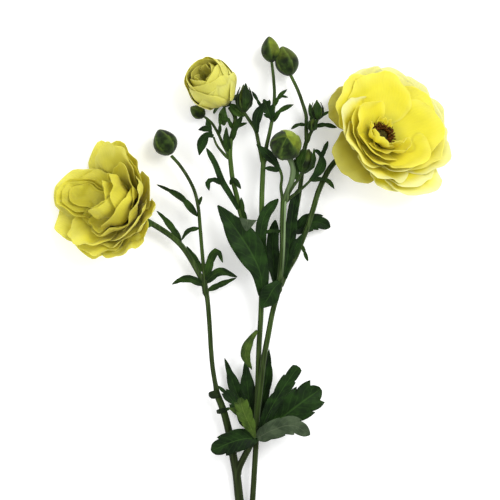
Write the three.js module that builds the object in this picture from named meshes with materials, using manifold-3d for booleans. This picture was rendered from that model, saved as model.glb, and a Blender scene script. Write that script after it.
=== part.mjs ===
// A cut spray of yellow ranunculus: one branched stem with three blooms, nine buds and nineteen leaves.
// It lies on its back on a table, blooms up. Millimetres, +Z up, +Y from the cut foot to the tall bud.
import * as THREE from "three";
import Module from "manifold-3d";

// ---- driving dimensions -------------------------------------------------------------------------

const CLEARANCE = 0.3; // gap between two pieces that touch
const LEAF_THICKNESS = 0.7;
const PETAL_THICKNESS = 0.65;
const SEPAL_THICKNESS = 0.8;
const STEM_SIDES = 6;
const TWIG_SIDES = 5;
const TWIG_RADIUS = 1.45; // a stalk that starts no thicker than this is a twig
const STEM_RING_SPACING = 14;
const FEWEST_STEM_STEPS = 2;
const LEAF_FOLD = 0.22; // how far a leaf's edges rise above its midrib, as a share of the half width
const TABLE_SIZE = 400; // the block that cuts the undersides flat where the spray lies on the table

const STEM_GREEN = { color: 0x4a6a3c, roughness: 0.6 };
const LEAF_GREEN = { color: 0x2f4f2a, roughness: 0.65 };
const LIGHT_LEAF_GREEN = { color: 0x55782f, roughness: 0.6 };
const UNDERSIDE_GREEN = { color: 0x5e7a5c, roughness: 0.7 };
const BUD_GREEN = { color: 0x3f6430, roughness: 0.55 };
const BRIGHT_YELLOW = { color: 0xf2e63a, roughness: 0.5 };
const DEEP_YELLOW = { color: 0xd8cc42, roughness: 0.5 };
const PALE_YELLOW = { color: 0xcdc545, roughness: 0.5 };
const EYE_BROWN = { color: 0x4a2a1c, roughness: 0.8 };

// ---- the branched stem --------------------------------------------------------------------------

// Each stalk: radius at its start and end, and the route of its middle line.
const STALKS = [
  {
    name: "stem foot", radii: [2.6, 2.5],
    route: [[-1, -150, 2.4], [-1.5, -141, 2.5], [-2, -132, 3]],
  },
  {
    name: "left arm", radii: [2.3, 1.8],
    route: [[-2, -134, 3], [-4, -119.5, 3.6], [-6, -105.5, 4.2], [-7.5, -92, 5], [-9.5, -81, 6],
      [-12, -67, 7], [-15, -56, 7.5], [-18.5, -47, 8]],
  },
  {
    name: "left arm, upper part", radii: [1.3, 1.35],
    route: [[-18, -48.5, 8], [-20.5, -34, 8.5], [-21.5, -23.5, 9], [-22.5, -7, 9.5],
      [-23.5, 4.5, 10], [-24.5, 11, 10]],
  },
  {
    name: "left flower stalk", radii: [1.5, 1.6],
    route: [[-24, 6.5, 10], [-25.5, 13, 9.6], [-30.5, 23, 9.4], [-35, 30.5, 9.4],
      [-38.5, 35, 9.4], [-43.5, 39.5, 9], [-48.5, 43, 8.4], [-56, 47.5, 8.4], [-63, 51.5, 10.8]],
  },
  {
    name: "left bud stalk", radii: [1.1, 0.9],
    route: [[-24, 7.5, 10], [-25.5, 21, 10.2], [-26.5, 32, 10.4], [-27.5, 44, 10.4],
      [-28.5, 55, 10.2], [-30.5, 64, 10], [-34, 71.5, 10], [-39, 79, 10], [-43.5, 84, 10]],
  },
  {
    name: "middle arm", radii: [1.6, 1.4],
    route: [[-2, -134, 3], [0.5, -119.5, 4.5], [1.5, -105.5, 5.5], [2.5, -89, 7], [3.5, -71, 8],
      [4, -53.5, 8.5], [4.5, -37, 9], [5, -20.5, 9.5], [6, -4, 10], [6.5, 12.5, 10.5],
      [7, 29, 11], [6.5, 45.5, 11.5], [6.5, 59.5, 12], [7, 73, 12], [7.5, 82.5, 12]],
  },
  {
    name: "middle arm, left twig", radii: [1.2, 0.9],
    route: [[7.5, 79, 12], [5, 89.5, 12.4], [3, 98, 13], [-0.5, 103.5, 13.5], [-3.5, 108, 14]],
  },
  {
    name: "tall bud stalk", radii: [1.2, 0.8],
    route: [[7.5, 79, 12], [9, 88.5, 12], [11, 97.5, 11.5], [12.5, 106, 11], [13.5, 117, 10.5],
      [13, 126.5, 10], [12, 135.5, 10]],
  },
  {
    name: "half open flower stalk", radii: [1.5, 1.2],
    route: [[7, 22, 10.8], [3.5, 33.5, 9.2], [-1.5, 43.5, 8.6], [-5, 51.5, 9], [-7, 60.5, 10],
      [-9.5, 70.5, 11], [-10.5, 78.5, 12], [-11, 85, 12.5], [-10.5, 92.5, 11.5], [-9, 99, 9.5],
      [-8.2, 105.2, 7.4], [-11.3, 110.9, 5.7]],
  },
  {
    name: "small bud stalk", radii: [0.9, 0.7],
    route: [[-11, 83.5, 12.5], [-14.5, 89.5, 12], [-18, 97, 10], [-21.5, 102.5, 7.5],
      [-25, 105.5, 5.5]],
  },
  {
    name: "small leaf stalk", radii: [0.8, 0.6],
    route: [[-11.5, 82, 12.2], [-15.5, 86, 13.4], [-18.5, 90, 14.6], [-20, 94, 15.4]],
  },
  {
    name: "right arm", radii: [1.9, 1.4],
    route: [[-6.5, -89.5, 5.5], [-3.5, -83, 7.5], [0, -76, 9.5], [3, -68, 11.3], [4, -57, 12],
      [5.5, -45, 12], [7.5, -28.5, 12], [10, -15, 12], [12.5, -2, 12], [15, 7, 12], [17, 15, 12]],
  },
  {
    name: "right flower stalk", radii: [1.45, 1.6],
    route: [[16, 11, 12], [21, 21, 11.5], [25, 28, 11], [28.5, 36.5, 10.5], [32, 45.5, 10],
      [35, 55, 10], [37.5, 63.5, 10], [40.5, 70.5, 10], [44, 77, 9], [49, 82.5, 7],
      [55.5, 86.5, 5.6], [62, 89, 5], [68.8, 91.2, 7.2]],
  },
  {
    name: "front stalk", radii: [1.6, 1.7],
    route: [[15.5, 8, 12.2], [17, 21, 15], [18, 34.5, 16.5], [18, 47.5, 17.5], [18.5, 59.5, 18]],
  },
  {
    name: "round bud stalk", radii: [1.5, 1.7],
    route: [[18.5, 57, 18], [20.5, 63.5, 18], [23, 70.5, 17.2], [23.6, 77.5, 15.4], [21, 83.5, 13.5]],
  },
  {
    name: "front stalk, left twig", radii: [0.9, 0.8],
    route: [[18.5, 57, 17.6], [17, 66, 17], [17.5, 72, 16.5], [16.5, 76, 16]],
  },
  {
    name: "front stalk, leafy bud twig", radii: [0.9, 0.8],
    route: [[19, 58, 17.6], [22.5, 65, 18.6], [26, 70, 17.5], [28.5, 74, 16.5]],
  },
  {
    name: "front stalk, right twig", radii: [0.9, 0.7],
    route: [[19, 58, 17.6], [22.5, 61, 16.6], [26.5, 64, 16], [30.5, 67.5, 15.5],
      [33.5, 70.5, 15]],
  },
  {
    name: "back stalk", radii: [1.4, 1.2],
    route: [[16.5, 13, 11.4], [20.5, 27.5, 9.5], [23, 40, 8.5], [25.5, 53, 8], [27.5, 65, 8],
      [29, 77, 8], [30, 87, 8.5], [31.5, 93, 9]],
  },
  {
    name: "broad bud stalk", radii: [1.1, 0.9],
    route: [[31.5, 91, 9], [31, 99.5, 9], [31, 106, 9], [29, 113, 9], [26.5, 120, 8.8],
      [22.3, 128.8, 8.6]],
  },
  {
    name: "back stalk, right twig", radii: [0.9, 0.8],
    route: [[31.5, 91, 9], [33.5, 96.5, 9.5], [36, 100.5, 10], [37.5, 104.5, 10.5]],
  },
];

// The narrow bracts at the forks, which grow from the stalks as one piece with them.
const BRACTS = [
  {
    name: "left arm bract", form: "quill", width: 1.6,
    midrib: [[-15.5, -56.5, 7.6], [-13, -56, 10], [-10.5, -55, 12]],
  },
  {
    name: "left fork, leaf 1", form: "slim", width: 3.9,
    midrib: [[-25.5, 12.5, 10.4], [-33, 16, 12], [-38, 15.5, 11.5], [-43, 13, 10]],
  },
  {
    name: "left fork, leaf 2", form: "slim", width: 4.1,
    midrib: [[-24, 17, 10.6], [-21, 28, 13], [-18, 31.5, 14], [-15, 25, 12.5]],
  },
  {
    name: "left fork, leaf 3", form: "slim", width: 4.4,
    midrib: [[-25.5, 13.5, 10.2], [-16.5, 20, 12.5], [-7, 17, 11]],
  },
  {
    name: "left fork, leaf 4", form: "slim", width: 3,
    midrib: [[-23.5, 9.5, 10], [-16, 13, 9.6], [-7.5, 16.5, 9]],
  },
  {
    name: "left flower stalk, leaf", form: "slim", width: 3.3,
    midrib: [[-26.5, 20, 10], [-30.5, 27, 8.6], [-35, 34, 8.6]],
  },
  {
    name: "left flower stalk, bract", form: "slim", width: 3.3,
    midrib: [[-38, 36, 9], [-43, 44, 9], [-47.5, 49.5, 9.4], [-51.5, 53.5, 9.6]],
  },
  {
    name: "left bud stalk, bract 1", form: "slim", width: 2.8,
    midrib: [[-29, 50.5, 10.4], [-37.5, 60.5, 12], [-45, 65, 12], [-51.5, 68, 11.5]],
  },
  {
    name: "left bud stalk, bract 2", form: "quill", width: 1.9,
    midrib: [[-29, 56, 10.4], [-26.5, 61.5, 11.5]],
  },
  {
    name: "left bud stalk, bract 3", form: "slim", width: 2.4,
    midrib: [[-28, 44, 10.4], [-34, 42.5, 12], [-38, 37, 12]],
  },
  {
    name: "half open stalk, bract 1", form: "quill", width: 2.2,
    midrib: [[-11, 68, 11.2], [-9, 71, 13], [-5, 65.5, 12]],
  },
  {
    name: "half open stalk, bract 2", form: "quill", width: 1.6,
    midrib: [[-2, 47.5, 9.2], [-4, 54.5, 10.8], [-5, 61, 11.5]],
  },
  {
    name: "half open stalk, bract 3", form: "slim", width: 3.6,
    midrib: [[-11.5, 86, 13], [-13, 92.5, 14.2], [-13, 99.5, 14]],
  },
  {
    name: "half open stalk, bract 4", form: "quill", width: 2.4,
    midrib: [[-10.5, 91.5, 12], [-7.5, 100, 13.4], [-4, 106, 13.8]],
  },
  {
    name: "half open stalk, bract 5", form: "quill", width: 1.9,
    midrib: [[-9.5, 98.5, 10], [-12.5, 104, 11], [-16.5, 104, 11]],
  },
  {
    name: "half open stalk, bract 6", form: "quill", width: 1.4,
    midrib: [[-9.5, 95.5, 11], [-6.5, 100, 12], [-1.5, 102, 12]],
  },
  {
    name: "half open stalk, bract 7", form: "quill", width: 1.2,
    midrib: [[-17, 95, 11], [-16.5, 100.5, 11], [-16.5, 107.5, 9]],
  },
  {
    name: "tall bud stalk, bract 1", form: "quill", width: 1.4,
    midrib: [[13.5, 111, 11], [16, 116.5, 12], [20.5, 120.5, 12]],
  },
  {
    name: "tall bud stalk, bract 2", form: "quill", width: 1.2,
    midrib: [[15.5, 115, 11.8], [17.5, 116.5, 12.4], [21, 116, 12.4]],
  },
  {
    name: "tall bud stalk, bract 3", form: "quill", width: 1.9,
    midrib: [[13, 102.5, 11.4], [15.5, 107.5, 12.6], [19, 110, 13], [24, 112, 12.8]],
  },
  {
    name: "broad bud stalk, bract", form: "quill", width: 1.6,
    midrib: [[31, 101, 9.4], [26.5, 101, 11], [22.5, 98.5, 11]],
  },
  {
    name: "back twig, bract 1", form: "quill", width: 2,
    midrib: [[36, 100, 10], [41, 101, 10.6], [48, 99.5, 10]],
  },
  {
    name: "back twig, bract 2", form: "quill", width: 1.4,
    midrib: [[37.5, 104, 10.6], [40.5, 106.5, 11], [44, 108.5, 10.8]],
  },
  {
    name: "back twig, bract 3", form: "quill", width: 1.8,
    midrib: [[35, 99.5, 10], [33.5, 107.5, 11], [33, 113, 10.6]],
  },
  {
    name: "front twig, bract 1", form: "quill", width: 1.6,
    midrib: [[33, 70, 15], [39.5, 71, 13.8], [43.5, 69.5, 13.4], [46.5, 65.5, 13]],
  },
  {
    name: "front twig, bract 2", form: "quill", width: 2.8,
    midrib: [[26, 70, 17.4], [25, 77.5, 16], [24.5, 82, 15.4]],
  },
  {
    name: "middle bract", form: "quill", width: 1.6,
    midrib: [[17.5, 42, 16.6], [12.5, 42.5, 15.8], [7.5, 41, 15]],
  },
  {
    name: "right stalk bract", form: "quill", width: 1.6,
    midrib: [[28.5, 35, 10.8], [32, 25.5, 11.2]],
  },
];

// ---- leaves -------------------------------------------------------------------------------------

// A blade's outline: rows of [place on the midrib, place of the edge points, half width as a share].
// An edge point that lies further on than its midrib point sweeps a lobe or a tooth forward.
const BLADE_FORMS = {
  quill: [[0, 0, 0.4], [0.45, 0.45, 1], [1, 1, 0.3]],
  slim: [[0, 0, 0.25], [0.34, 0.38, 1], [0.68, 0.74, 0.66], [1, 1, 0.14]],
  strap: [[0, 0, 0.6], [0.25, 0.25, 0.9], [0.5, 0.5, 1], [0.8, 0.8, 0.85], [1, 1, 0.2]],
  lance: [[0, 0, 0.3], [0.24, 0.27, 0.68], [0.5, 0.53, 1], [0.78, 0.82, 0.52], [1, 1, 0.08]],
  cut: [[0, 0, 0.14], [0.15, 0.18, 0.3], [0.28, 0.42, 0.86], [0.37, 0.41, 0.5], [0.5, 0.66, 1],
    [0.6, 0.64, 0.52], [0.72, 0.88, 0.74], [0.84, 0.86, 0.34], [1, 1, 0.06]],
  fan: [[0, 0, 0.14], [0.2, 0.24, 0.46], [0.4, 0.5, 0.88], [0.47, 0.49, 0.74], [0.64, 0.76, 1],
    [0.71, 0.73, 0.82], [0.84, 0.94, 0.84], [0.9, 0.9, 0.56], [1, 1, 0.22]],
  shell: [[0, 0, 0.34], [0.2, 0.22, 0.84], [0.42, 0.5, 1], [0.48, 0.5, 0.86], [0.64, 0.74, 0.9],
    [0.7, 0.72, 0.7], [0.84, 0.92, 0.5], [1, 1, 0.06]],
  toothed: [[0, 0, 0.3], [0.25, 0.26, 0.7], [0.48, 0.54, 0.96], [0.56, 0.57, 0.82], [0.74, 0.82, 1],
    [0.82, 0.82, 0.78], [0.94, 0.98, 0.72], [1, 1, 0.4]],
};

// Each leaf: its colour and its blades, which are joined at their feet.
const LEAVES = {
  leaf_basal_left: {
    look: LEAF_GREEN,
    blades: [
      {
        form: "shell", width: 12.6,
        midrib: [[4, -71.5, 13.4], [-4, -72, 15.5], [-11, -74, 16], [-17.5, -77, 14],
          [-21.5, -78.5, 12]],
      },
      {
        form: "cut", width: 5,
        midrib: [[2, -71.5, 13.6], [-4, -61, 13.6], [-10.5, -50, 12.6], [-17.5, -43, 12]],
      },
    ],
  },
  leaf_basal_light: {
    look: LIGHT_LEAF_GREEN,
    blades: [
      {
        form: "fan", width: 8.2,
        midrib: [[3, -71.5, 14.8], [0, -64.5, 20], [-3.5, -56.5, 22], [-5.5, -49, 21]],
      },
      {
        form: "lance", width: 3.9,
        midrib: [[-1.5, -60.5, 21.2], [-6.5, -56.5, 21.4], [-11.5, -55, 20]],
      },
    ],
  },
  leaf_basal_upright: {
    look: LEAF_GREEN,
    blades: [
      {
        form: "lance", width: 6.6,
        midrib: [[1.5, -70.5, 5.6], [-4, -56, 4.4], [-9, -42.5, 4.6], [-14, -28, 6]],
      },
      {
        form: "lance", width: 8.2,
        midrib: [[2.5, -70.5, 5.6], [0, -56, 4.2], [-1.5, -42.5, 4.2], [-2.5, -28.5, 5]],
      },
      {
        form: "lance", width: 6.1,
        midrib: [[4, -70, 5.6], [7, -50.5, 4.2], [10, -35, 4.6], [10.5, -23, 6]],
      },
    ],
  },
  leaf_basal_right: {
    look: LEAF_GREEN,
    blades: [
      {
        form: "toothed", width: 8,
        midrib: [[4.5, -70.5, 13.2], [10, -58, 16], [17.5, -45, 18], [26.5, -32, 17]],
      },
      {
        form: "fan", width: 17.5,
        midrib: [[4.5, -71.5, 13.2], [16, -61.5, 15.5], [27.5, -52.5, 16], [39, -44.5, 13]],
      },
    ],
  },
  leaf_basal_underside: {
    look: UNDERSIDE_GREEN,
    blades: [
      {
        form: "shell", width: 10.4,
        midrib: [[4, -71.5, 14.8], [13, -66.5, 20.5], [23, -64, 22], [33, -69.5, 18]],
      },
    ],
  },
  leaf_light_curl: {
    look: LIGHT_LEAF_GREEN,
    blades: [
      {
        form: "lance", width: 5.5,
        midrib: [[4, -12.5, 11.6], [0, -18, 13.5], [-2.5, -25.5, 14.5], [1, -34, 13.5]],
      },
    ],
  },
  leaf_large_left: {
    look: LEAF_GREEN,
    blades: [
      {
        form: "lance", width: 16,
        midrib: [[7, 7, 12.4], [5.5, 20, 14.5], [-0.5, 32.5, 15.5], [-9, 45, 15],
          [-17.8, 56.5, 13.5]],
      },
    ],
  },
  leaf_node_hanging: {
    look: LEAF_GREEN,
    blades: [
      {
        form: "lance", width: 11,
        midrib: [[16.5, 14.5, 15], [12.5, 10, 17], [10, 5.5, 17], [6, 0, 15]],
      },
    ],
  },
  leaf_arched_lobe: {
    look: LEAF_GREEN,
    blades: [
      {
        form: "strap", width: 6.6,
        midrib: [[7, 29.5, 13], [6, 41, 15.2], [8.5, 51.5, 15], [15.5, 60, 14]],
      },
    ],
  },
  leaf_middle_back: {
    look: LEAF_GREEN,
    blades: [
      {
        form: "strap", width: 7.2,
        midrib: [[15, 13, 9.6], [13, 25.5, 8.6], [12.5, 36, 8.6], [14, 48.5, 10]],
      },
    ],
  },
  leaf_broad_back: {
    look: LEAF_GREEN,
    blades: [
      {
        form: "strap", width: 6.6,
        midrib: [[18.5, 16.5, 13], [21, 28.5, 12.6], [22.5, 43, 12.4], [24, 56, 12.4],
          [26.5, 65.5, 12]],
      },
    ],
  },
  leaf_right_upper: {
    look: LEAF_GREEN,
    blades: [
      {
        form: "shell", width: 9.4,
        midrib: [[24, 42, 7.6], [29.5, 45.5, 6], [37, 47.5, 5.6], [44.5, 44.5, 5]],
      },
      { form: "lance", width: 4.4, midrib: [[26, 43, 6.8], [29.5, 48.5, 7], [34.5, 52.5, 7]] },
    ],
  },
  leaf_right_lower: {
    look: LEAF_GREEN,
    blades: [
      { form: "lance", width: 5, midrib: [[22, 24, 11.4], [25, 33, 13], [29, 41, 13]] },
    ],
  },
  leaf_right_top: {
    look: LEAF_GREEN,
    blades: [
      {
        form: "lance", width: 5.5,
        midrib: [[33, 70, 15], [37.5, 75, 14.5], [39.5, 79, 13.5], [39, 86, 12.5]],
      },
      { form: "quill", width: 2.2, midrib: [[39, 82.5, 13], [41, 87, 12.5], [43, 92, 12.5]] },
      { form: "quill", width: 2.2, midrib: [[39, 83.5, 13], [37.5, 86, 12.6], [35, 87, 12.5]] },
    ],
  },
  leaf_center_top: {
    look: LEAF_GREEN,
    blades: [
      {
        form: "lance", width: 5.5,
        midrib: [[16.5, 75.5, 16.4], [13, 81, 16], [9, 85, 15.2], [3.5, 90, 14.6]],
      },
      { form: "quill", width: 2.8, midrib: [[16, 75.5, 16.4], [12, 76.5, 16], [8, 77, 15.6]] },
    ],
  },
  leaf_strap_left: {
    look: LEAF_GREEN,
    blades: [
      {
        form: "strap", width: 3.6,
        midrib: [[-6.5, 54.5, 11.6], [-11, 62.5, 13.5], [-15.5, 70, 14], [-19, 79, 14],
          [-24, 88, 14]],
      },
      {
        form: "quill", width: 2.2,
        midrib: [[-15.5, 68, 14.2], [-19.5, 70.5, 15.5], [-23, 69.5, 15.5], [-22.5, 64.5, 14.5]],
      },
    ],
  },
  leaf_small_left: {
    look: LEAF_GREEN,
    blades: [
      {
        form: "lance", width: 5.6,
        midrib: [[-20, 94.5, 16.2], [-23.5, 95, 16.8], [-26, 91.5, 16], [-28, 84, 14.5]],
      },
      {
        form: "lance", width: 3.3,
        midrib: [[-21, 96.5, 16.2], [-24, 98.5, 16.4], [-28.5, 98, 15.6]],
      },
      { form: "lance", width: 3.3, midrib: [[-21, 95, 16.2], [-22.5, 99, 16.2], [-24, 104, 15]] },
    ],
  },
  leaf_top_lobed: {
    look: LEAF_GREEN,
    blades: [
      { form: "cut", width: 7.7, midrib: [[12, 102.5, 13], [10, 109, 14], [7.5, 115, 13]] },
      { form: "quill", width: 1.2, midrib: [[6.5, 110, 14.2], [4, 114.5, 14], [1, 119.5, 13.5]] },
    ],
  },
  leaf_top_broad: {
    look: LEAF_GREEN,
    blades: [
      {
        form: "lance", width: 5.5,
        midrib: [[4, 96.5, 15.2], [3.5, 103, 15.8], [5, 108, 15.6], [8, 113, 15.6]],
      },
    ],
  },
};

// ---- buds ---------------------------------------------------------------------------------------

// Each bud: the point where its stalk enters, its tip, and its width across.
const BUDS = {
  bud_left: { base: [-43.8, 84.3, 10], tip: [-50.5, 98.5, 9.5], width: 13.5 },
  bud_tall: { base: [12, 135.3, 10], tip: [10.5, 150, 9], width: 10.2 },
  bud_broad: { base: [22.5, 128, 8.6], tip: [17.5, 144.5, 8.6], width: 13 },
  bud_round: { base: [21, 84, 13.5], tip: [18.5, 95.5, 27], width: 17.4 },
  bud_shaded: { base: [-25, 105.7, 5.5], tip: [-33, 111, 6], width: 7.6 },
  bud_leafy_right: { base: [37.3, 103.5, 10.4], tip: [36.8, 114, 10.4], width: 6.2 },
  bud_small_dark: { base: [34.2, 97.6, 9.6], tip: [34.6, 104, 14.5], width: 4.6 },
  bud_leafy_front: { base: [28.5, 74, 16.5], tip: [32.5, 87.5, 15], width: 8.6 },
  bud_leafy_center: { base: [-3.4, 107.6, 14], tip: [-3, 122.5, 12.5], width: 7.4 },
};
const BUD_SIDES = 10;
const BUD_RINGS = 6;
const BUD_SHAPE = { shoulder: 0.85, fullness: 0.7 }; // below 1: widest nearer the stalk, and rounder
const SEPAL_RIDGE = 0.05; // how far a bud's five seams stand out, as a share of its radius

// ---- blooms -------------------------------------------------------------------------------------

// A bloom stands on its receptacle, and its axis leans by lean degrees towards the heading in plan.
// Petals: [heading round the axis, length, half width, angle from the axis at root, at tip], and for
// the nest's petals the radius that they are rolled to. The spiral's petals take their length, half
// width and angles from near, on the side that the bloom leans away from, and from far, on the side
// that it leans to, as they go from the outermost to the innermost.
const BLOOMS = {
  right: {
    look: BRIGHT_YELLOW,
    seat: [70.2, 92.4, 9.5], lean: 30, heading: 48, rootRadius: 5.6,
    outline: [
      [130, 30.5, 14.5, 92, 88], [222, 26.5, 18, 95, 84], [296, 30, 18, 92, 72], [307, 38.5, 17, 88, 62],
      [357, 35, 17, 88, 50], [26, 37, 15, 94, 53], [54, 37.5, 16, 94, 53], [104, 36, 17, 86, 49],
    ],
    shoulder: [[306, 33, 17, 84, 56], [341, 35.5, 18, 82, 53], [268, 27, 16, 82, 50]],
    nest: [],
    spiral: {
      count: 7, first: 22,
      near: [[25, 18, 79, 41], [24, 18, 77, 35], [22.5, 17, 73, 26], [19, 15, 63, 12]],
      far: [[33, 20, 84, 50], [32.5, 21, 82, 48], [32, 21, 80, 46], [31, 21, 78, 45]],
    },
    heart: [[196, 15, 8, 50, 2], [236, 19, 9, 48, -8], [288, 18.5, 9, 48, -8]],
    eye: { radius: 4, height: 3.4, stamens: 12, stamenLength: 4.2 },
  },
  left: {
    look: DEEP_YELLOW,
    seat: [-65, 52.5, 12.8], lean: 48, heading: 154, rootRadius: 5,
    outline: [
      [163, 42, 17, 58, 44], [194, 38.5, 17, 62, 48], [222, 31, 18, 78, 57], [252, 25.5, 18, 88, 60],
      [288, 24.5, 16, 90, 60], [107, 38.2, 20, 76, 40], [40, 20.5, 13, 84, 50], [330, 23.5, 15, 90, 44],
    ],
    shoulder: [[236, 30, 18, 74, 46], [97, 33, 19, 68, 34]],
    nest: [[168, 39, 15, 58, 36, 11], [164, 31, 10, 56, 36, 6.5]],
    spiral: {
      count: 6, first: 311,
      near: [[23, 18, 76, 34], [24.5, 18, 68, 20], [26, 18, 56, 2], [26, 16, 42, -17]],
      far: [[37, 17, 60, 36], [28, 13, 60, 36], [16, 8, 60, 34], [8, 5, 60, 34]],
    },
    heart: [[300, 25, 12, 36, -22], [30, 25, 12, 36, -22]],
    eye: { radius: 3.3, height: 3, stamens: 9, stamenLength: 3.6 },
  },
  half_open: {
    look: PALE_YELLOW,
    seat: [-13.3, 113.8, 6.8], lean: 46, heading: 130, rootRadius: 3.4,
    outline: [],
    shoulder: [],
    nest: [],
    spiral: {
      count: 8, first: 40,
      near: [
        [21, 18, 70, -14], [25, 18, 64, -24], [27, 17, 58, -28], [27, 14, 52, -30], [24.5, 9, 42, -30],
      ],
      far: [
        [22, 18, 69, -18], [26, 18, 64, -24], [28, 17, 58, -27], [28, 14, 52, -29], [25, 9, 42, -28],
      ],
    },
    heart: [],
    dome: { radius: 5.4, height: 18 },
  },
};
const SPIRAL_TURN = 275; // degrees from one petal of a spiral to the next
const SIDE_CHANGE = 2; // how suddenly a spiral goes over from its near to its far form
const PETAL_RISE = 0.9; // one step up the core
const SHOULDER_STEPS = 1.6; // how many steps up it the shoulder's petals start,
const SPIRAL_STEPS = 2; // and the first of the spiral's
const SPIRAL_RISE = 3.2; // and how many more the last of the spiral's
const NEST_SHARES = [0.3, 0.8]; // how far up the spiral the nest's petals start, as a share
const ROOT_TAPER = 0.18; // the spiral's last petals start this much nearer the axis, as a share
const CORE_LIP = 0.8; // the core is this much wider than the circle that the petals start from
const OUTLINE_ROWS = [0, 0.35, 0.75, 1]; // where an outline petal is divided along its length
const OUTLINE_COLUMNS = [-1, -0.45, 0.45, 1]; // and across it
const INNER_ROWS = [0, 0.35, 0.75, 1];
const INNER_COLUMNS = [-1, 0, 1];
const NEST_COLUMNS = [-1, -0.5, 0, 0.5, 1];
const PETAL_ROOT_WIDTH = 0.16; // a petal is this narrow at its root, as a share of its width
const PETAL_WIDENING = 1.3; // it is full width at one over this of its length
const PETAL_WRAP = 1.15; // it curves round the axis on a circle this much wider than the bloom there
const PETAL_SKEW = 1; // one edge of each petal lies outside its neighbour by this much
const PETAL_RUFFLE = 0.5;
const RUFFLE_WAVES = 2.5; // waves across a petal
const RUFFLE_START = 2.5; // skew and ruffle reach their full size at one over this of the length
const PETAL_ROUNDING = 0.36; // how far the rim's corners fall back, as a share of the length
const CALYX = { radius: 3.4, height: 2.2, footShare: 0.6, sepals: 5, firstHeading: 36 };
const SEPAL = {
  length: 11, halfWidth: 3.2, root: 100, tip: 150, inset: 0.9, rounding: 0.45,
  rows: [0, 0.55, 1], columns: [-1, 0, 1],
};
const CORE_SIDES = 8;
const EYE_PROFILE = [[0.86, 0], [1, 0.35], [0.72, 0.8]]; // shares of the eye's radius and height
const DOME_PROFILE = [[0.7, 0.06], [1, 0.55], [0.6, 0.9]]; // the same for a closed bloom's inside
const STAMEN = { sides: 3, radii: [0.4, 0.6], foot: 0.8, from: 0.7, to: 0.98 }; // shares of the radius

// ---- solids -------------------------------------------------------------------------------------

const wasm = await Module();
wasm.setup();

const table = fromGeometry(
  new THREE.BoxGeometry(TABLE_SIZE, TABLE_SIZE, TABLE_SIZE).translate(0, 0, -TABLE_SIZE / 2),
);

// A closed solid from corner points and faces; faces that were listed inside out are turned round.
function closedSolid(points, faces) {
  let volume = 0;
  for (const [a, b, c] of faces) {
    volume += points[a].dot(points[b].clone().cross(points[c]));
  }
  const turned = volume < 0 ? faces.map(([a, b, c]) => [a, c, b]) : faces;
  return new wasm.Manifold(
    new wasm.Mesh({
      numProp: 3,
      vertProperties: new Float32Array(points.flatMap((p) => p.toArray())),
      triVerts: new Uint32Array(turned.flat()),
    }),
  );
}

// A closed solid from a three.js geometry whose corners are doubled along its seams.
function fromGeometry(geometry) {
  const position = geometry.getAttribute("position");
  const corners = new Map();
  const points = [];
  const corner = (i) => {
    const p = new THREE.Vector3().fromBufferAttribute(position, i);
    const key = p.toArray().map((v) => Math.round(v * 1e4)).join(",");
    if (!corners.has(key)) {
      corners.set(key, points.length);
      points.push(p);
    }
    return corners.get(key);
  };
  const index = [...geometry.index.array];
  const faces = [];
  for (let i = 0; i < index.length; i += 3) {
    const face = index.slice(i, i + 3).map(corner);
    if (new Set(face).size === 3) faces.push(face);
  }
  return closedSolid(points, faces);
}

function largestBody(solid) {
  return solid.decompose().reduce((a, b) => (b.volume() > a.volume() ? b : a));
}

function joined(solids) {
  return solids.reduce((whole, piece) => whole.add(piece));
}

function node(name, solid, look) {
  const mesh = solid.getMesh();
  const geometry = new THREE.BufferGeometry();
  geometry.setAttribute("position", new THREE.BufferAttribute(mesh.vertProperties, 3));
  geometry.setIndex(new THREE.BufferAttribute(mesh.triVerts, 1));
  geometry.computeVertexNormals();
  const made = new THREE.Mesh(
    geometry,
    new THREE.MeshStandardMaterial({ ...look, metalness: 0, side: THREE.FrontSide }),
  );
  made.name = name;
  return made;
}

function vector([x, y, z]) {
  return new THREE.Vector3(x, y, z);
}

// ---- stalks -------------------------------------------------------------------------------------

function stalk({ route, radii, sides, fewestSteps }, grow = 0) {
  const curve = new THREE.CatmullRomCurve3(route.map(vector), false, "centripetal");
  const steps = Math.max(fewestSteps, Math.round(curve.getLength() / STEM_RING_SPACING));
  const frames = curve.computeFrenetFrames(steps, false);
  const points = [];
  const faces = [];
  for (let i = 0; i <= steps; i += 1) {
    const middle = curve.getPointAt(i / steps);
    if (i === 0) middle.addScaledVector(frames.tangents[i], -grow);
    if (i === steps) middle.addScaledVector(frames.tangents[i], grow);
    const radius = THREE.MathUtils.lerp(radii[0], radii[1], i / steps) + grow;
    for (let k = 0; k < sides; k += 1) {
      const angle = (2 * Math.PI * k) / sides;
      points.push(
        middle
          .clone()
          .addScaledVector(frames.normals[i], radius * Math.cos(angle))
          .addScaledVector(frames.binormals[i], radius * Math.sin(angle)),
      );
      const next = (k + 1) % sides;
      if (i < steps) {
        const a = i * sides + k;
        const b = i * sides + next;
        faces.push([a, b, b + sides], [a, b + sides, a + sides]);
      }
    }
  }
  const last = steps * sides;
  for (let k = 1; k < sides - 1; k += 1) {
    faces.push([0, k + 1, k], [last, last + k, last + k + 1]);
  }
  return closedSolid(points, faces);
}

// ---- sheets: leaves, petals and sepals ----------------------------------------------------------

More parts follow.
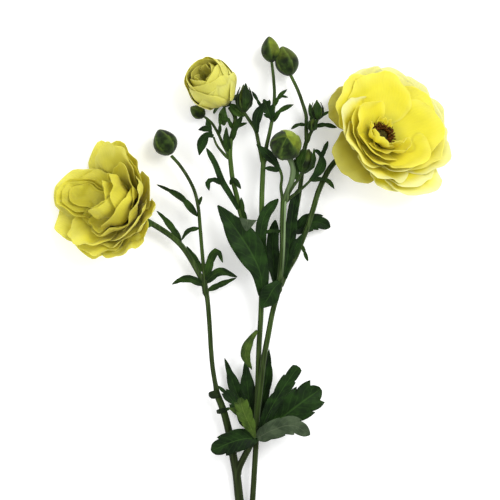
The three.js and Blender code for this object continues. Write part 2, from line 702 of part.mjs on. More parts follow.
// A sheet of even thickness over a grid of points, split into like triangles on both faces.
function sheet(grid, normals, thickness) {
  const rows = grid.length;
  const columns = grid[0].length;
  const points = [];
  const faces = [];
  for (const side of [0.5, -0.5]) {
    grid.forEach((row, i) =>
      row.forEach((p, j) => points.push(p.clone().addScaledVector(normals[i][j], side * thickness))),
    );
  }
  const below = rows * columns;
  const at = (i, j) => i * columns + j;
  for (let i = 0; i < rows - 1; i += 1) {
    for (let j = 0; j < columns - 1; j += 1) {
      const [a, b, c, d] = [at(i, j), at(i + 1, j), at(i + 1, j + 1), at(i, j + 1)];
      // the diagonal leans towards the middle column on both halves, and alike above and below
      const halves = j < (columns - 1) / 2 ? [[a, b, c], [a, c, d]] : [[a, b, d], [b, c, d]];
      for (const [p, q, r] of halves) {
        faces.push([p, q, r], [p + below, r + below, q + below]);
      }
    }
  }
  const rim = [];
  for (let j = 0; j < columns; j += 1) rim.push(at(0, j));
  for (let i = 1; i < rows; i += 1) rim.push(at(i, columns - 1));
  for (let j = columns - 2; j >= 0; j -= 1) rim.push(at(rows - 1, j));
  for (let i = rows - 2; i > 0; i -= 1) rim.push(at(i, 0));
  rim.forEach((p, k) => {
    const q = rim[(k + 1) % rim.length];
    faces.push([p, q, q + below], [p, q + below, p + below]);
  });
  return closedSolid(points, faces);
}

function blade({ form, width, midrib }, grow = 0) {
  const curve = new THREE.CatmullRomCurve3(midrib.map(vector), false, "centripetal");
  const up = new THREE.Vector3(0, 0, 1);
  const station = (u) => {
    const along = curve.getTangentAt(u);
    const side = along.clone().cross(up).normalize();
    const point = curve.getPointAt(u);
    if (u === 0) point.addScaledVector(along, -grow);
    if (u === 1) point.addScaledVector(along, grow);
    return { point, side, normal: side.clone().cross(along) };
  };
  const columns = form === "quill" ? [-1, 1] : [-1, 0, 1];
  const grid = [];
  const normals = [];
  for (const [middle, edge, share] of BLADE_FORMS[form]) {
    const places = columns.map((column) => station(column === 0 ? middle : edge));
    const halfWidth = (share * width) / 2 + grow;
    grid.push(
      places.map(({ point, side, normal }, j) =>
        point
          .clone()
          .addScaledVector(side, columns[j] * halfWidth)
          .addScaledVector(normal, form === "quill" ? 0 : Math.abs(columns[j]) * halfWidth * LEAF_FOLD),
      ),
    );
    normals.push(places.map((place) => place.normal));
  }
  return sheet(grid, normals, LEAF_THICKNESS + 2 * grow);
}

// The frame of a bloom: its own +Z runs along the axis, its headings are those of the plan.
function bloomFrame({ seat, lean, heading }) {
  const turn = THREE.MathUtils.degToRad(heading);
  const tilt = new THREE.Vector3(-Math.sin(turn), Math.cos(turn), 0);
  return new THREE.Matrix4()
    .makeRotationAxis(tilt, THREE.MathUtils.degToRad(lean))
    .setPosition(...seat);
}

// A petal grows out and up from the core: its angle from the axis runs evenly from root to tip, and
// it wraps round the axis. Its corners fall back, its rim is ruffled and one edge lies further out.
function petal(form, thickness) {
  const { heading, length, halfWidth, root, tip, rootRadius, rootHeight, rows, columns } = form;
  const { rounding = PETAL_ROUNDING, skew = PETAL_SKEW, ruffle = PETAL_RUFFLE, roll = Infinity } = form;
  const start = THREE.MathUtils.degToRad(root);
  const bend = THREE.MathUtils.degToRad(tip) - start;
  const place = (u, v) => {
    const angle = start + bend * u * (1 - rounding * v * v * u * u);
    const radius = rootRadius + (length * (Math.cos(start) - Math.cos(angle))) / bend;
    const height = rootHeight + (length * (Math.sin(angle) - Math.sin(start))) / bend;
    const opened = Math.sin((Math.PI / 2) * Math.min(1, u * PETAL_WIDENING));
    const wrap = Math.min(Math.max(radius, rootRadius + 1) * PETAL_WRAP, roll);
    const turn = (halfWidth * THREE.MathUtils.lerp(PETAL_ROOT_WIDTH, 1, opened) * v) / wrap;
    const wave = ruffle * Math.sin(RUFFLE_WAVES * Math.PI * v + heading) * u;
    const lift = (skew * v + wave) * Math.min(1, RUFFLE_START * u);
    return new THREE.Vector3(
      radius - wrap * (1 - Math.cos(turn)) + lift * Math.cos(angle),
      wrap * Math.sin(turn),
      height - lift * Math.sin(angle),
    );
  };
  const grid = rows.map((u) => columns.map((v) => place(u, v)));
  const normals = grid.map((row, i) =>
    row.map((_, j) => {
      const [before, after] = [grid[Math.max(i - 1, 0)][j], grid[Math.min(i + 1, rows.length - 1)][j]];
      const [left, right] = [row[Math.max(j - 1, 0)], row[Math.min(j + 1, columns.length - 1)]];
      return after.clone().sub(before).cross(right.clone().sub(left)).normalize();
    }),
  );
  const turned = new THREE.Matrix4().makeRotationZ(THREE.MathUtils.degToRad(heading));
  [...grid.flat(), ...normals.flat()].forEach((p) => p.applyMatrix4(turned));
  return sheet(grid, normals, thickness);
}

function lathed(profile) {
  const points = profile.map(([radius, height]) => new THREE.Vector2(radius, height));
  // the lathe turns round Y; the bloom's axis is Z
  return fromGeometry(new THREE.LatheGeometry(points, CORE_SIDES).rotateX(Math.PI / 2));
}

// A lathed knob that stands on a foot at the given height.
function knob(shares, radius, height, foot = 0) {
  const profile = shares.map(([across, up]) => [across * radius, foot + up * height]);
  return lathed([[0, profile[0][1]], ...profile, [0, foot + height]]);
}

function moved(solid, matrix) {
  return solid.transform(matrix.toArray());
}

// How high above the receptacle a petal starts that is so many steps up the core.
function rootHeightAt(steps) {
  return 2 * CLEARANCE + PETAL_RISE * steps;
}

// The form of a spiral's petal, from 0 for the outermost to 1 for the innermost, and from 0 on the
// side that the bloom leans away from to 1 on the side that it leans to.
function spiralForm({ near, far }, inward, share) {
  const place = inward * (near.length - 1);
  const low = Math.min(Math.floor(place), near.length - 2);
  const between = (side, k) => THREE.MathUtils.lerp(side[low][k], side[low + 1][k], place - low);
  return near[0].map((_, k) => THREE.MathUtils.lerp(between(near, k), between(far, k), share));
}

const coreTop = rootHeightAt(SPIRAL_STEPS + SPIRAL_RISE);

// The petals on the low core that they grow from, as one solid.
function bloomPetals({ outline, shoulder, nest, spiral, heart, dome, rootRadius, heading: leanHeading }) {
  const innerRadius = rootRadius * (1 - ROOT_TAPER);
  const [foot, head] = [rootRadius + CORE_LIP, innerRadius + CORE_LIP];
  const shoulderHeight = rootHeightAt(SPIRAL_STEPS) + CLEARANCE;
  const core = [[0, CLEARANCE], [foot, CLEARANCE], [foot, shoulderHeight], [head, coreTop], [0, coreTop]];
  const pieces = [lathed(core)];
  if (dome) pieces.push(knob(DOME_PROFILE, dome.radius, dome.height));
  const grown = ([heading, length, halfWidth, root, tip, roll], radius, steps, rows, columns) => {
    const form = { heading, length, halfWidth, root, tip, roll, rows, columns };
    pieces.push(petal({ ...form, rootRadius: radius, rootHeight: rootHeightAt(steps) }, PETAL_THICKNESS));
  };
  outline.forEach((form, k) => grown(form, rootRadius, k % 2, OUTLINE_ROWS, OUTLINE_COLUMNS));
  shoulder.forEach((form) => grown(form, rootRadius, SHOULDER_STEPS, INNER_ROWS, INNER_COLUMNS));
  nest.forEach((form, k) => {
    const steps = SPIRAL_STEPS + SPIRAL_RISE * NEST_SHARES[k];
    grown(form, innerRadius, steps, INNER_ROWS, NEST_COLUMNS);
  });
  for (let k = 0; k < spiral.count; k += 1) {
    const heading = spiral.first + SPIRAL_TURN * k;
    const inward = k / (spiral.count - 1);
    const facing = Math.cos(THREE.MathUtils.degToRad(heading - leanHeading));
    const share = THREE.MathUtils.clamp(0.5 + SIDE_CHANGE * facing, 0, 1);
    const form = [heading, ...spiralForm(spiral, inward, share)];
    const radius = THREE.MathUtils.lerp(rootRadius, innerRadius, inward);
    grown(form, radius, SPIRAL_STEPS + SPIRAL_RISE * inward, INNER_ROWS, INNER_COLUMNS);
  }
  heart.forEach((form) => grown(form, innerRadius, SPIRAL_STEPS + SPIRAL_RISE, INNER_ROWS, INNER_COLUMNS));
  return joined(pieces);
}

// The calyx: a flat receptacle with five sepals bent back along the stalk.
function bloomCalyx(grow = 0) {
  const { radius, height, footShare, sepals, firstHeading } = CALYX;
  const low = -height - grow;
  const pieces = [
    lathed([[0, low], [radius * footShare + grow, low], [radius + grow, grow], [0, grow]]),
  ];
  const form = {
    ...SEPAL,
    length: SEPAL.length + grow, halfWidth: SEPAL.halfWidth + grow,
    rootRadius: radius - SEPAL.inset, rootHeight: -SEPAL.inset, skew: 0, ruffle: 0,
  };
  for (let k = 0; k < sepals; k += 1) {
    const heading = firstHeading + (360 * k) / sepals;
    pieces.push(petal({ ...form, heading }, SEPAL_THICKNESS + 2 * grow));
  }
  return joined(pieces);
}

// The eye: a domed pistil with a ring of stamens that lean out from its foot.
function bloomEye({ radius, height, stamens, stamenLength }, foot) {
  const pieces = [knob(EYE_PROFILE, radius, height, foot)];
  const axis = new THREE.Vector3(0, 0, 1);
  for (let k = 0; k < stamens; k += 1) {
    const angle = (2 * Math.PI * k) / stamens;
    const low = vector([radius * STAMEN.from, 0, foot + STAMEN.foot]).applyAxisAngle(axis, angle);
    const high = vector([radius * STAMEN.to, 0, foot + stamenLength]).applyAxisAngle(axis, angle);
    const route = [low.toArray(), high.toArray()];
    pieces.push(stalk({ route, radii: STAMEN.radii, sides: STAMEN.sides, fewestSteps: 1 }));
  }
  return joined(pieces);
}

// A bud: an egg between its stalk and its tip, with its five sepals' seams raised as ridges.
function bud({ base, tip, width }, grow = 0) {
  const foot = vector(base);
  const axis = vector(tip).sub(foot);
  const length = axis.length() + 2 * grow;
  axis.normalize();
  foot.addScaledVector(axis, -grow);
  const turn = new THREE.Quaternion().setFromUnitVectors(new THREE.Vector3(0, 0, 1), axis);
  const points = [foot.clone()];
  const faces = [];
  for (let i = 1; i < BUD_RINGS; i += 1) {
    const u = i / BUD_RINGS;
    const bulge = Math.sin(Math.PI * u ** BUD_SHAPE.shoulder) ** BUD_SHAPE.fullness;
    const radius = (width / 2 + grow) * bulge;
    for (let k = 0; k < BUD_SIDES; k += 1) {
      const angle = (2 * Math.PI * k) / BUD_SIDES;
      const ridged = radius * (1 + (k % 2 === 0 ? SEPAL_RIDGE : -SEPAL_RIDGE));
      points.push(
        new THREE.Vector3(ridged * Math.cos(angle), ridged * Math.sin(angle), u * length)
          .applyQuaternion(turn)
          .add(foot),
      );
      const a = 1 + (i - 1) * BUD_SIDES + k;
      const b = 1 + (i - 1) * BUD_SIDES + ((k + 1) % BUD_SIDES);
      if (i === 1) faces.push([0, b, a]);
      if (i < BUD_RINGS - 1) faces.push([a, b, b + BUD_SIDES], [a, b + BUD_SIDES, a + BUD_SIDES]);
    }
  }
  const peak = points.length;
  points.push(foot.clone().addScaledVector(axis, length));
  for (let k = 0; k < BUD_SIDES; k += 1) {
    const ring = peak - BUD_SIDES;
    faces.push([ring + k, ring + ((k + 1) % BUD_SIDES), peak]);
  }
  return closedSolid(points, faces);
}

// ---- the spray ----------------------------------------------------------------------------------

// All stalks and bracts as one solid, or a little larger all round.
function stemSolid(grow = 0) {
  const stalks = STALKS.map(({ route, radii }) => {
    const sides = radii[0] > TWIG_RADIUS ? STEM_SIDES : TWIG_SIDES;
    return stalk({ route, radii, sides, fewestSteps: FEWEST_STEM_STEPS }, grow);
  });
  return joined([...stalks, ...BRACTS.map((bract) => blade(bract, grow))]);
}

const spray = new THREE.Group();
spray.add(node("stem_branched", stemSolid().subtract(table), STEM_GREEN));

// What later pieces keep clear of, a little larger than the pieces themselves.
let taken = stemSolid(CLEARANCE);

for (const [name, { look, blades }] of Object.entries(LEAVES)) {
  const leaf = joined(blades.map((form) => blade(form))).subtract(taken);
  spray.add(node(name, largestBody(leaf), look));
  taken = taken.add(joined(blades.map((form) => blade(form, CLEARANCE))));
}

for (const [name, form] of Object.entries(BUDS)) {
  spray.add(node(name, largestBody(bud(form).subtract(taken)), BUD_GREEN));
  taken = taken.add(bud(form, CLEARANCE));
}

for (const [name, form] of Object.entries(BLOOMS)) {
  const frame = bloomFrame(form);
  const calyx = moved(bloomCalyx(), frame).subtract(taken).subtract(table);
  spray.add(node(`bloom_${name}_calyx`, largestBody(calyx), BUD_GREEN));
  taken = taken.add(moved(bloomCalyx(CLEARANCE), frame));
  const petals = moved(bloomPetals(form), frame).subtract(taken).subtract(table);
  spray.add(node(`bloom_${name}_petals`, largestBody(petals), form.look));
  if (form.eye) {
    const eye = moved(bloomEye(form.eye, coreTop + CLEARANCE), frame);
    spray.add(node(`bloom_${name}_eye`, eye, EYE_BROWN));
  }
}

export default spray;
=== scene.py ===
import math

import bpy
import numpy as np
from mathutils import Matrix, Vector


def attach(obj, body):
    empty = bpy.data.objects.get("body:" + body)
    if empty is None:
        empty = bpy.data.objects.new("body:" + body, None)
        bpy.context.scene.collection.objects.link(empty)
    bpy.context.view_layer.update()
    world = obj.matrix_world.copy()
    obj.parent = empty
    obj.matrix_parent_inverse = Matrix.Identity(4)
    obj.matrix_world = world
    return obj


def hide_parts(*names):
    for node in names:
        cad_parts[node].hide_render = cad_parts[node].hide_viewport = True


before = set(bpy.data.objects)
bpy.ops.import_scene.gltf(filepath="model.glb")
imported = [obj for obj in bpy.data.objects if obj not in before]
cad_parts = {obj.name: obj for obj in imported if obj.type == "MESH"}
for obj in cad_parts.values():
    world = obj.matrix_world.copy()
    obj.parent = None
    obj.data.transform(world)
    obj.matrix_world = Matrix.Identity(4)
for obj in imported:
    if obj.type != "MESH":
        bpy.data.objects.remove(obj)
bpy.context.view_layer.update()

# ---- branched stem ------------------------------------------------------------------------------
# The living stem: a cut foot that forks into a left, a middle and a right arm, and these into the
# stalks that carry the blooms and buds. It is green, faintly ribbed, and swells where it forks.

MM = 0.001
ROUTE_STEP = 1.0  # mm between the rings of a stalk
STALK_SIDES = 16
SPAN_POINTS = 24  # points worked out between two given ones, before they are spaced evenly
FORK_SWELLING = 0.32  # how much thicker a stalk is where it leaves another, as a share of its radius
FORK_REACH = 5.0  # mm
RIBS = 6
RIB_DEPTH = 0.07  # mm
STEM_SHADE = (26, 38, 12)  # this and the other colours are sRGB, out of 255
STEM_LIGHT = (76, 106, 38)
STEM_STREAK = (112, 134, 78)
OLD_STEM = (28, 32, 13)
# a pale grey-green: painted light on the stalks that are painted paler
STEM_PAINTED_LIGHT = (134, 156, 112)
AGED_STEM = (-0.11, 0.02)  # m along the spray, where the old, dark stem changes to the green one
SKIN_SHINE = 0.08  # leaves, stems and buds are nearly matt
PAINTED_LIGHT_STALKS = {"round bud stalk": 0.4, "thin pale stalk": 0.75}  # how much paler a stalk is painted, as painted light on it
STALK_ROOT = 2.0  # mm at the start of a stalk, inside the one that it leaves, where it is thinner,
ROOT_SHARE = 0.6  # down to this share of its radius

# Each stalk: its radius at the start and at the end, and the route of its middle line, in mm.
STALKS = {
    "stem foot": (2.3, 2.5,
        [(-1, -150, 2.4), (-1.5, -141, 2.5), (-2, -132, 3)]),
    "left arm": (2.7, 1.9,
        [(-2, -134, 3.5), (-4, -119.5, 3.7), (-6, -105.5, 4.2), (-7.5, -92, 5), (-9.5, -81, 6),
            (-12, -67, 7), (-15, -56, 7.5), (-18.5, -47, 8)]),
    "left arm, upper part": (1.3, 1.35,
        [(-18, -48.5, 8), (-20.5, -34, 8.5), (-21.5, -23.5, 9), (-22.5, -7, 9.5),
            (-23.5, 4.5, 10), (-24.5, 11, 10)]),
    "left flower stalk": (1.5, 1.6,
        [(-24, 6.5, 10), (-25.5, 13, 9.6), (-30.5, 23, 9.4), (-35, 30.5, 9.4), (-38.5, 35, 9.4),
            (-43.5, 39.5, 9), (-48.5, 43, 8.4), (-56, 47.5, 8.4), (-63, 51.5, 10.8)]),
    "left bud stalk": (1.1, 0.9,
        [(-24, 7.5, 10), (-25.5, 21, 10.2), (-26.5, 32, 10.4), (-27.5, 44, 10.4),
            (-28.5, 55, 10.2), (-30.5, 64, 10), (-34, 71.5, 10), (-39, 79, 10), (-43.5, 84, 10)]),
    "middle arm": (1.6, 1.4,
        [(-2, -134, 3), (0.5, -119.5, 4.5), (1.5, -105.5, 5.5), (2.5, -89, 7), (3.5, -71, 8),
            (4, -53.5, 8.5), (4.5, -37, 9), (5, -20.5, 9.5), (6, -4, 10), (6.5, 12.5, 10.5),
            (7, 29, 11), (6.5, 45.5, 11.5), (6.5, 59.5, 12), (7, 73, 12), (7.5, 82.5, 12)]),
    "middle arm, left twig": (1.2, 0.9,
        [(7.5, 79, 12), (5, 89.5, 12.4), (3, 98, 13), (-0.5, 103.5, 13.5), (-3.5, 108, 14)]),
    "tall bud stalk": (1.2, 0.8,
        [(7.5, 79, 12), (9, 88.5, 12), (11, 97.5, 11.5), (12.5, 106, 11), (13.5, 117, 10.5),
            (13, 126.5, 10), (12, 135.5, 10)]),
    "half open flower stalk": (1.5, 1.2,
        [(7, 22, 10.8), (3.5, 33.5, 9.2), (-1.5, 43.5, 8.6), (-5, 51.5, 9), (-7, 60.5, 10),
            (-9.5, 70.5, 11), (-10.5, 78.5, 12), (-11, 85, 12.5), (-10.5, 92.5, 11.5),
            (-9, 99, 9.5), (-8.2, 105.2, 7.4), (-11.3, 110.9, 5.7)]),
    "small bud stalk": (0.9, 0.7,
        [(-11, 83.5, 12.5), (-14.5, 89.5, 12), (-18, 97, 10), (-21.5, 102.5, 7.5),
            (-25, 105.5, 5.5)]),
    "small leaf stalk": (0.8, 0.6,
        [(-11.5, 82, 12.2), (-15.5, 86, 13.4), (-18.5, 90, 14.6), (-20, 94, 15.4)]),
    "right arm": (1.9, 1.4,
        [(-7.5, -94, 4.8), (-6.5, -89.5, 5.5), (-3.5, -83, 7.5), (0, -76, 9.5), (3, -68, 11.3),
            (4, -57, 12), (5.5, -45, 12), (7.5, -28.5, 12), (10, -15, 12), (12.5, -2, 12),
            (15, 7, 12), (17, 15, 12)]),
    "right flower stalk": (1.45, 1.6,
        [(16, 11, 12), (21, 21, 11.5), (25, 28, 11), (28.5, 36.5, 10.5), (32, 45.5, 10),
            (35, 55, 10), (37.5, 63.5, 10), (40.5, 70.5, 10), (44, 77, 9), (49, 82.5, 7),
            (55.5, 86.5, 5.6), (62, 89, 5), (68.8, 91.2, 7.2)]),
    "front stalk": (1.6, 1.7,
        [(15.5, 8, 12.2), (17, 21, 15), (18, 34.5, 16.5), (18, 47.5, 17.5), (18.5, 59.5, 18)]),
    "round bud stalk": (1.5, 1.7,
        [(18.5, 57, 18), (20.5, 63.5, 18), (23, 70.5, 17.2), (23.6, 77.5, 15.4),
            (20.6, 84.8, 14.3)]),
    "thin pale stalk": (0.5, 0.6,
        [(17.2, 15.5, 15.2), (18, 22, 16.6), (18.7, 33, 18), (19, 45, 19), (19.3, 56, 19.4),
            (19.6, 61, 19)]),
    "front stalk, left twig": (0.9, 0.8,
        [(18.5, 57, 17.6), (17, 66, 17), (17.5, 72, 16.5), (16.5, 76, 16)]),
    "front stalk, leafy bud twig": (0.9, 0.8,
        [(19, 58, 17.6), (22.5, 65, 18.6), (26, 70, 17.5), (28.5, 74, 16.5)]),
    "front stalk, right twig": (0.9, 0.7,
        [(19, 58, 17.6), (22.5, 61, 16.6), (26.5, 64, 16), (30.5, 67.5, 15.5), (33.5, 70.5, 15)]),
    "back stalk": (1.4, 1.2,
        [(16.5, 13, 11.4), (20.5, 27.5, 9.5), (23, 40, 8.5), (25.5, 53, 8), (27.5, 65, 8),
            (29, 77, 8), (30, 87, 8.5), (31.5, 93, 9)]),
    "broad bud stalk": (1.1, 0.9,
        [(31.5, 91, 9), (31, 99.5, 9), (31, 106, 9), (29, 113, 9), (26.5, 120, 8.8),
            (22.3, 128.8, 8.6)]),
    "back stalk, right twig": (0.9, 0.8,
        [(31.5, 91, 9), (33.5, 96.5, 9.5), (36, 100.5, 10), (37.5, 104.5, 10.5)]),
}


def smooth_route(points, step=ROUTE_STEP):
    """A smooth line through the points, as points that lie one step apart (all in mm).

    It is a Catmull-Rom curve, timed by the root of each span, so that it makes no loops.
    """
    p = np.array(points, float)
    p = np.vstack([2 * p[0] - p[1], p, 2 * p[-1] - p[-2]])
    line = []
    for a, b, c, d in zip(p, p[1:], p[2:], p[3:]):
        ta = 0.0
        tb = ta + np.linalg.norm(b - a) ** 0.5
        tc = tb + np.linalg.norm(c - b) ** 0.5
        td = tc + np.linalg.norm(d - c) ** 0.5
        t = np.linspace(tb, tc, SPAN_POINTS, endpoint=False)[:, None]
        ab = (tb - t) / (tb - ta) * a + (t - ta) / (tb - ta) * b
        bc = (tc - t) / (tc - tb) * b + (t - tb) / (tc - tb) * c
        cd = (td - t) / (td - tc) * c + (t - tc) / (td - tc) * d
        abc = (tc - t) / (tc - ta) * ab + (t - ta) / (tc - ta) * bc
        bcd = (td - t) / (td - tb) * bc + (t - tb) / (td - tb) * cd
        line.append((tc - t) / (tc - tb) * abc + (t - tb) / (tc - tb) * bcd)
    line = np.vstack(line + [p[-2][None, :]])
    reach = np.concatenate([[0], np.cumsum(np.linalg.norm(np.diff(line, axis=0), axis=1))])
    count = max(3, int(round(reach[-1] / step)) + 1)
    even = np.linspace(0, reach[-1], count)
    return np.stack([np.interp(even, reach, line[:, k]) for k in range(3)], axis=1)


def screen_colour(red, green, blue):
    """An sRGB colour (0 to 255), as the linear colour that a shader takes."""
    shares = [c / 255 for c in (red, green, blue)]
    return tuple(s / 12.92 if s <= 0.04045 else ((s + 0.055) / 1.055) ** 2.4 for s in shares) + (1.0,)


def add_node(tree, kind, inputs=None, **settings):
    """Adds a node to a tree; each input is a number, a colour or a socket that is linked to it."""
    made = tree.nodes.new(kind)
    for key, value in settings.items():
        setattr(made, key, value)
    for key, value in (inputs or {}).items():
        if isinstance(value, bpy.types.NodeSocket):
            tree.links.new(value, made.inputs[key])
        else:
            made.inputs[key].default_value = value
    return made


def maths(tree, operation, first, second=0.0, third=0.0, clamp=False):
    inputs = {0: first, 1: second, 2: third}
    return add_node(tree, "ShaderNodeMath", inputs, operation=operation, use_clamp=clamp).outputs[0]


def blend_colours(tree, share, first, second):
    inputs = {0: share, 6: first, 7: second}
    return add_node(tree, "ShaderNodeMix", inputs, data_type="RGBA").outputs[2]


def ramp(tree, value, low, high, start=0.0, end=1.0):
    """Runs from start to end as the value goes from low to high, and stays there."""
    inputs = {0: value, 1: low, 2: high, 3: start, 4: end}
    return add_node(tree, "ShaderNodeMapRange", inputs, interpolation_type="SMOOTHSTEP").outputs[0]


def read_attribute(tree, name):
    return add_node(tree, "ShaderNodeAttribute", attribute_name=name).outputs["Fac"]


def cloudy(tree, scale, detail=3.0, stretch=(1, 1, 1)):
    """Soft noise in the piece's own coordinates; scale is in blobs a metre."""
    place = add_node(tree, "ShaderNodeTexCoord").outputs["Object"]
    place = add_node(tree, "ShaderNodeMapping", {"Vector": place, "Scale": stretch}).outputs[0]
    inputs = {"Vector": place, "Scale": scale, "Detail": detail}
    return add_node(tree, "ShaderNodeTexNoise", inputs).outputs["Fac"]


def living_material(name, roughness, sheen=0.0, subsurface=0.0):
    """A new material with its tree and shader; what is even all over is set on the shader."""
    material = bpy.data.materials.new(name)
    material.use_nodes = True
    tree = material.node_tree
    shader = tree.nodes["Principled BSDF"]
    shader.inputs["Roughness"].default_value = roughness
    shader.inputs["Specular IOR Level"].default_value = SKIN_SHINE
    shader.inputs["Sheen Weight"].default_value = sheen
    shader.inputs["Sheen Roughness"].default_value = 0.5
    shader.inputs["Subsurface Weight"].default_value = subsurface
    return material, tree, shader


def colour_and_bump(tree, shader, colour, height, strength, distance):
    tree.links.new(colour, shader.inputs["Base Color"])
    inputs = {"Height": height, "Strength": strength, "Distance": distance}
    bump = add_node(tree, "ShaderNodeBump", inputs).outputs[0]
    tree.links.new(bump, shader.inputs["Normal"])


def stem_material():
    material, tree, shader = living_material("stem green", 0.5, sheen=0.04)
    patches = cloudy(tree, 60, stretch=(1, 0.35, 1))
    streaks = cloudy(tree, 900, stretch=(1, 0.08, 1))
    light = maths(tree, "MULTIPLY_ADD", read_attribute(tree, "rib"), 0.3, 0.1)
    light = maths(tree, "ADD", light, ramp(tree, patches, 0.4, 0.7, 0.0, 0.45), clamp=True)
    colour = blend_colours(tree, light, screen_colour(*STEM_SHADE), screen_colour(*STEM_LIGHT))
    streaky = ramp(tree, streaks, 0.45, 0.75, 0, 0.25)
    colour = blend_colours(tree, streaky, colour, screen_colour(*STEM_STREAK))
    place = add_node(tree, "ShaderNodeTexCoord").outputs["Object"]
    up = add_node(tree, "ShaderNodeSeparateXYZ", {"Vector": place}).outputs["Y"]
    aged = ramp(tree, up, *AGED_STEM, 0.7, 0.0)
    colour = blend_colours(tree, aged, colour, screen_colour(*OLD_STEM))
    # Painted light: some stalks are painted paler, in a pale grey-green.
    colour = blend_colours(tree, read_attribute(tree, "painted_light"), colour, screen_colour(*STEM_PAINTED_LIGHT))
    colour_and_bump(tree, shader, colour, streaks, 0.25, 0.0003)
    return material


def polyline_mesh(name, lines):
    """A mesh of plain edges along lines, each with its points (mm), their radii and how much paler it is
    painted, as painted light.
    """
    points, edges, radii, painted_light_shares = [], [], [], []
    for line, radius, painted_light in lines:
        first = len(points)
        points += [tuple(p * MM) for p in line]
        edges += [(first + k, first + k + 1) for k in range(len(line) - 1)]
        radii += list(radius * MM)
        painted_light_shares += list(painted_light)
    mesh = bpy.data.meshes.new(name)
    mesh.from_pydata(points, edges, [])
    mesh.attributes.new("stalk_radius", "FLOAT", "POINT").data.foreach_set("value", radii)
    mesh.attributes.new("painted_light", "FLOAT", "POINT").data.foreach_set("value", painted_light_shares)
    return mesh


def growing_tree(name, kinds):
    """A new tree of geometry nodes with named inputs, each of the kind given, and its sockets."""
    tree = bpy.data.node_groups.new(name, "GeometryNodeTree")
    tree.interface.new_socket("Start", in_out="INPUT", socket_type="NodeSocketGeometry")
    sockets = {
        title: tree.interface.new_socket(title, in_out="INPUT", socket_type="NodeSocket" + kind)
        for title, kind in kinds.items()
    }
    tree.interface.new_socket("Grown", in_out="OUTPUT", socket_type="NodeSocketGeometry")
    return tree, sockets, add_node(tree, "NodeGroupInput").outputs


def end_tree(tree, geometry, material):
    """Ends a tree in plain smooth faces of one material."""
    geometry = add_node(tree, "GeometryNodeRealizeInstances", {"Geometry": geometry}).outputs[0]
    geometry = add_node(tree, "GeometryNodeSetShadeSmooth", {"Geometry": geometry}).outputs[0]
    inputs = {"Geometry": geometry, "Material": material}
    add_node(tree, "NodeGroupOutput", {0: add_node(tree, "GeometryNodeSetMaterial", inputs).outputs[0]})


def stalk_tree():
    """Sweeps a ribbed round section along every route, as thick as the route says."""
    kinds = {"Sides": "Int", "Ribs": "Int", "Rib depth": "Float", "Material": "Material"}
    tree, sockets, given = growing_tree("ribbed stalks along routes", kinds)
    radius = add_node(tree, "GeometryNodeInputNamedAttribute", {"Name": "stalk_radius"},
                      data_type="FLOAT").outputs["Attribute"]
    route = add_node(tree, "GeometryNodeMeshToCurve", {"Mesh": given["Start"]}).outputs[0]
    route = add_node(tree, "GeometryNodeSetCurveRadius", {"Curve": route, "Radius": radius}).outputs[0]
    section = add_node(tree, "GeometryNodeCurvePrimitiveCircle",
                       {"Resolution": given["Sides"], "Radius": 1.0}).outputs[0]
    round_share = add_node(tree, "GeometryNodeSplineParameter").outputs["Factor"]
    turn = maths(tree, "MULTIPLY", maths(tree, "MULTIPLY", round_share, given["Ribs"]), 2 * math.pi)
    section = add_node(
        tree, "GeometryNodeStoreNamedAttribute",
        {"Geometry": section, "Name": "rib", "Value": maths(tree, "SINE", turn)},
        data_type="FLOAT", domain="POINT",
    ).outputs[0]
    tube = add_node(tree, "GeometryNodeCurveToMesh",
                    {"Curve": route, "Profile Curve": section, "Scale": radius,
                     "Fill Caps": True}).outputs[0]
    rib = add_node(tree, "GeometryNodeInputNamedAttribute", {"Name": "rib"},
                   data_type="FLOAT").outputs["Attribute"]
    outward = add_node(
        tree, "ShaderNodeVectorMath",
        {0: add_node(tree, "GeometryNodeInputNormal").outputs[0],
         "Scale": maths(tree, "MULTIPLY", rib, given["Rib depth"])},
        operation="SCALE",
    ).outputs[0]
    tube = add_node(tree, "GeometryNodeSetPosition", {"Geometry": tube, "Offset": outward}).outputs[0]
    end_tree(tree, tube, given["Material"])
    return tree, sockets


def grown(name, mesh, tree, sockets, values):
    """The plain mesh that a tree of nodes makes from a mesh, with values for its named inputs."""
    carrier = bpy.data.objects.new(name, mesh)
    bpy.context.scene.collection.objects.link(carrier)
    modifier = carrier.modifiers.new(name, "NODES")
    modifier.node_group = tree
    for title, value in values.items():
        modifier[sockets[title].identifier] = value
    scene_graph = bpy.context.evaluated_depsgraph_get()
    made = bpy.data.meshes.new_from_object(carrier.evaluated_get(scene_graph))
    carrier.modifiers.remove(modifier)
    bpy.data.objects.remove(carrier)
    made.name = name
    return made


def place_piece(name, mesh, slot, *nodes):
    """The mesh as a piece of the spray, in place of the nodes that it stands for."""
    piece = bpy.data.objects.new(name, mesh)
    bpy.context.scene.collection.objects.link(piece)
    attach(piece, "root")
    if nodes:
        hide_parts(*nodes)


stem_green = stem_material()
stalk_lines = []
for stalk_name, (start_radius, end_radius, route) in STALKS.items():
    line = smooth_route(route)
    reach = np.linspace(0, 1, len(line))
    radius = start_radius + (end_radius - start_radius) * reach
    if stalk_name != "stem foot":
        away = reach * len(line) * ROUTE_STEP
        radius *= 1 + FORK_SWELLING * np.exp(-((away / FORK_REACH) ** 2))
        radius *= ROOT_SHARE + (1 - ROOT_SHARE) * np.minimum(1, away / STALK_ROOT)
    # How much paler the stalk is painted, as painted light, reaching its full share halfway along.
    painted_light = PAINTED_LIGHT_STALKS.get(stalk_name, 0.0) * np.minimum(1, reach * 2)
    stalk_lines.append((line, radius, painted_light))

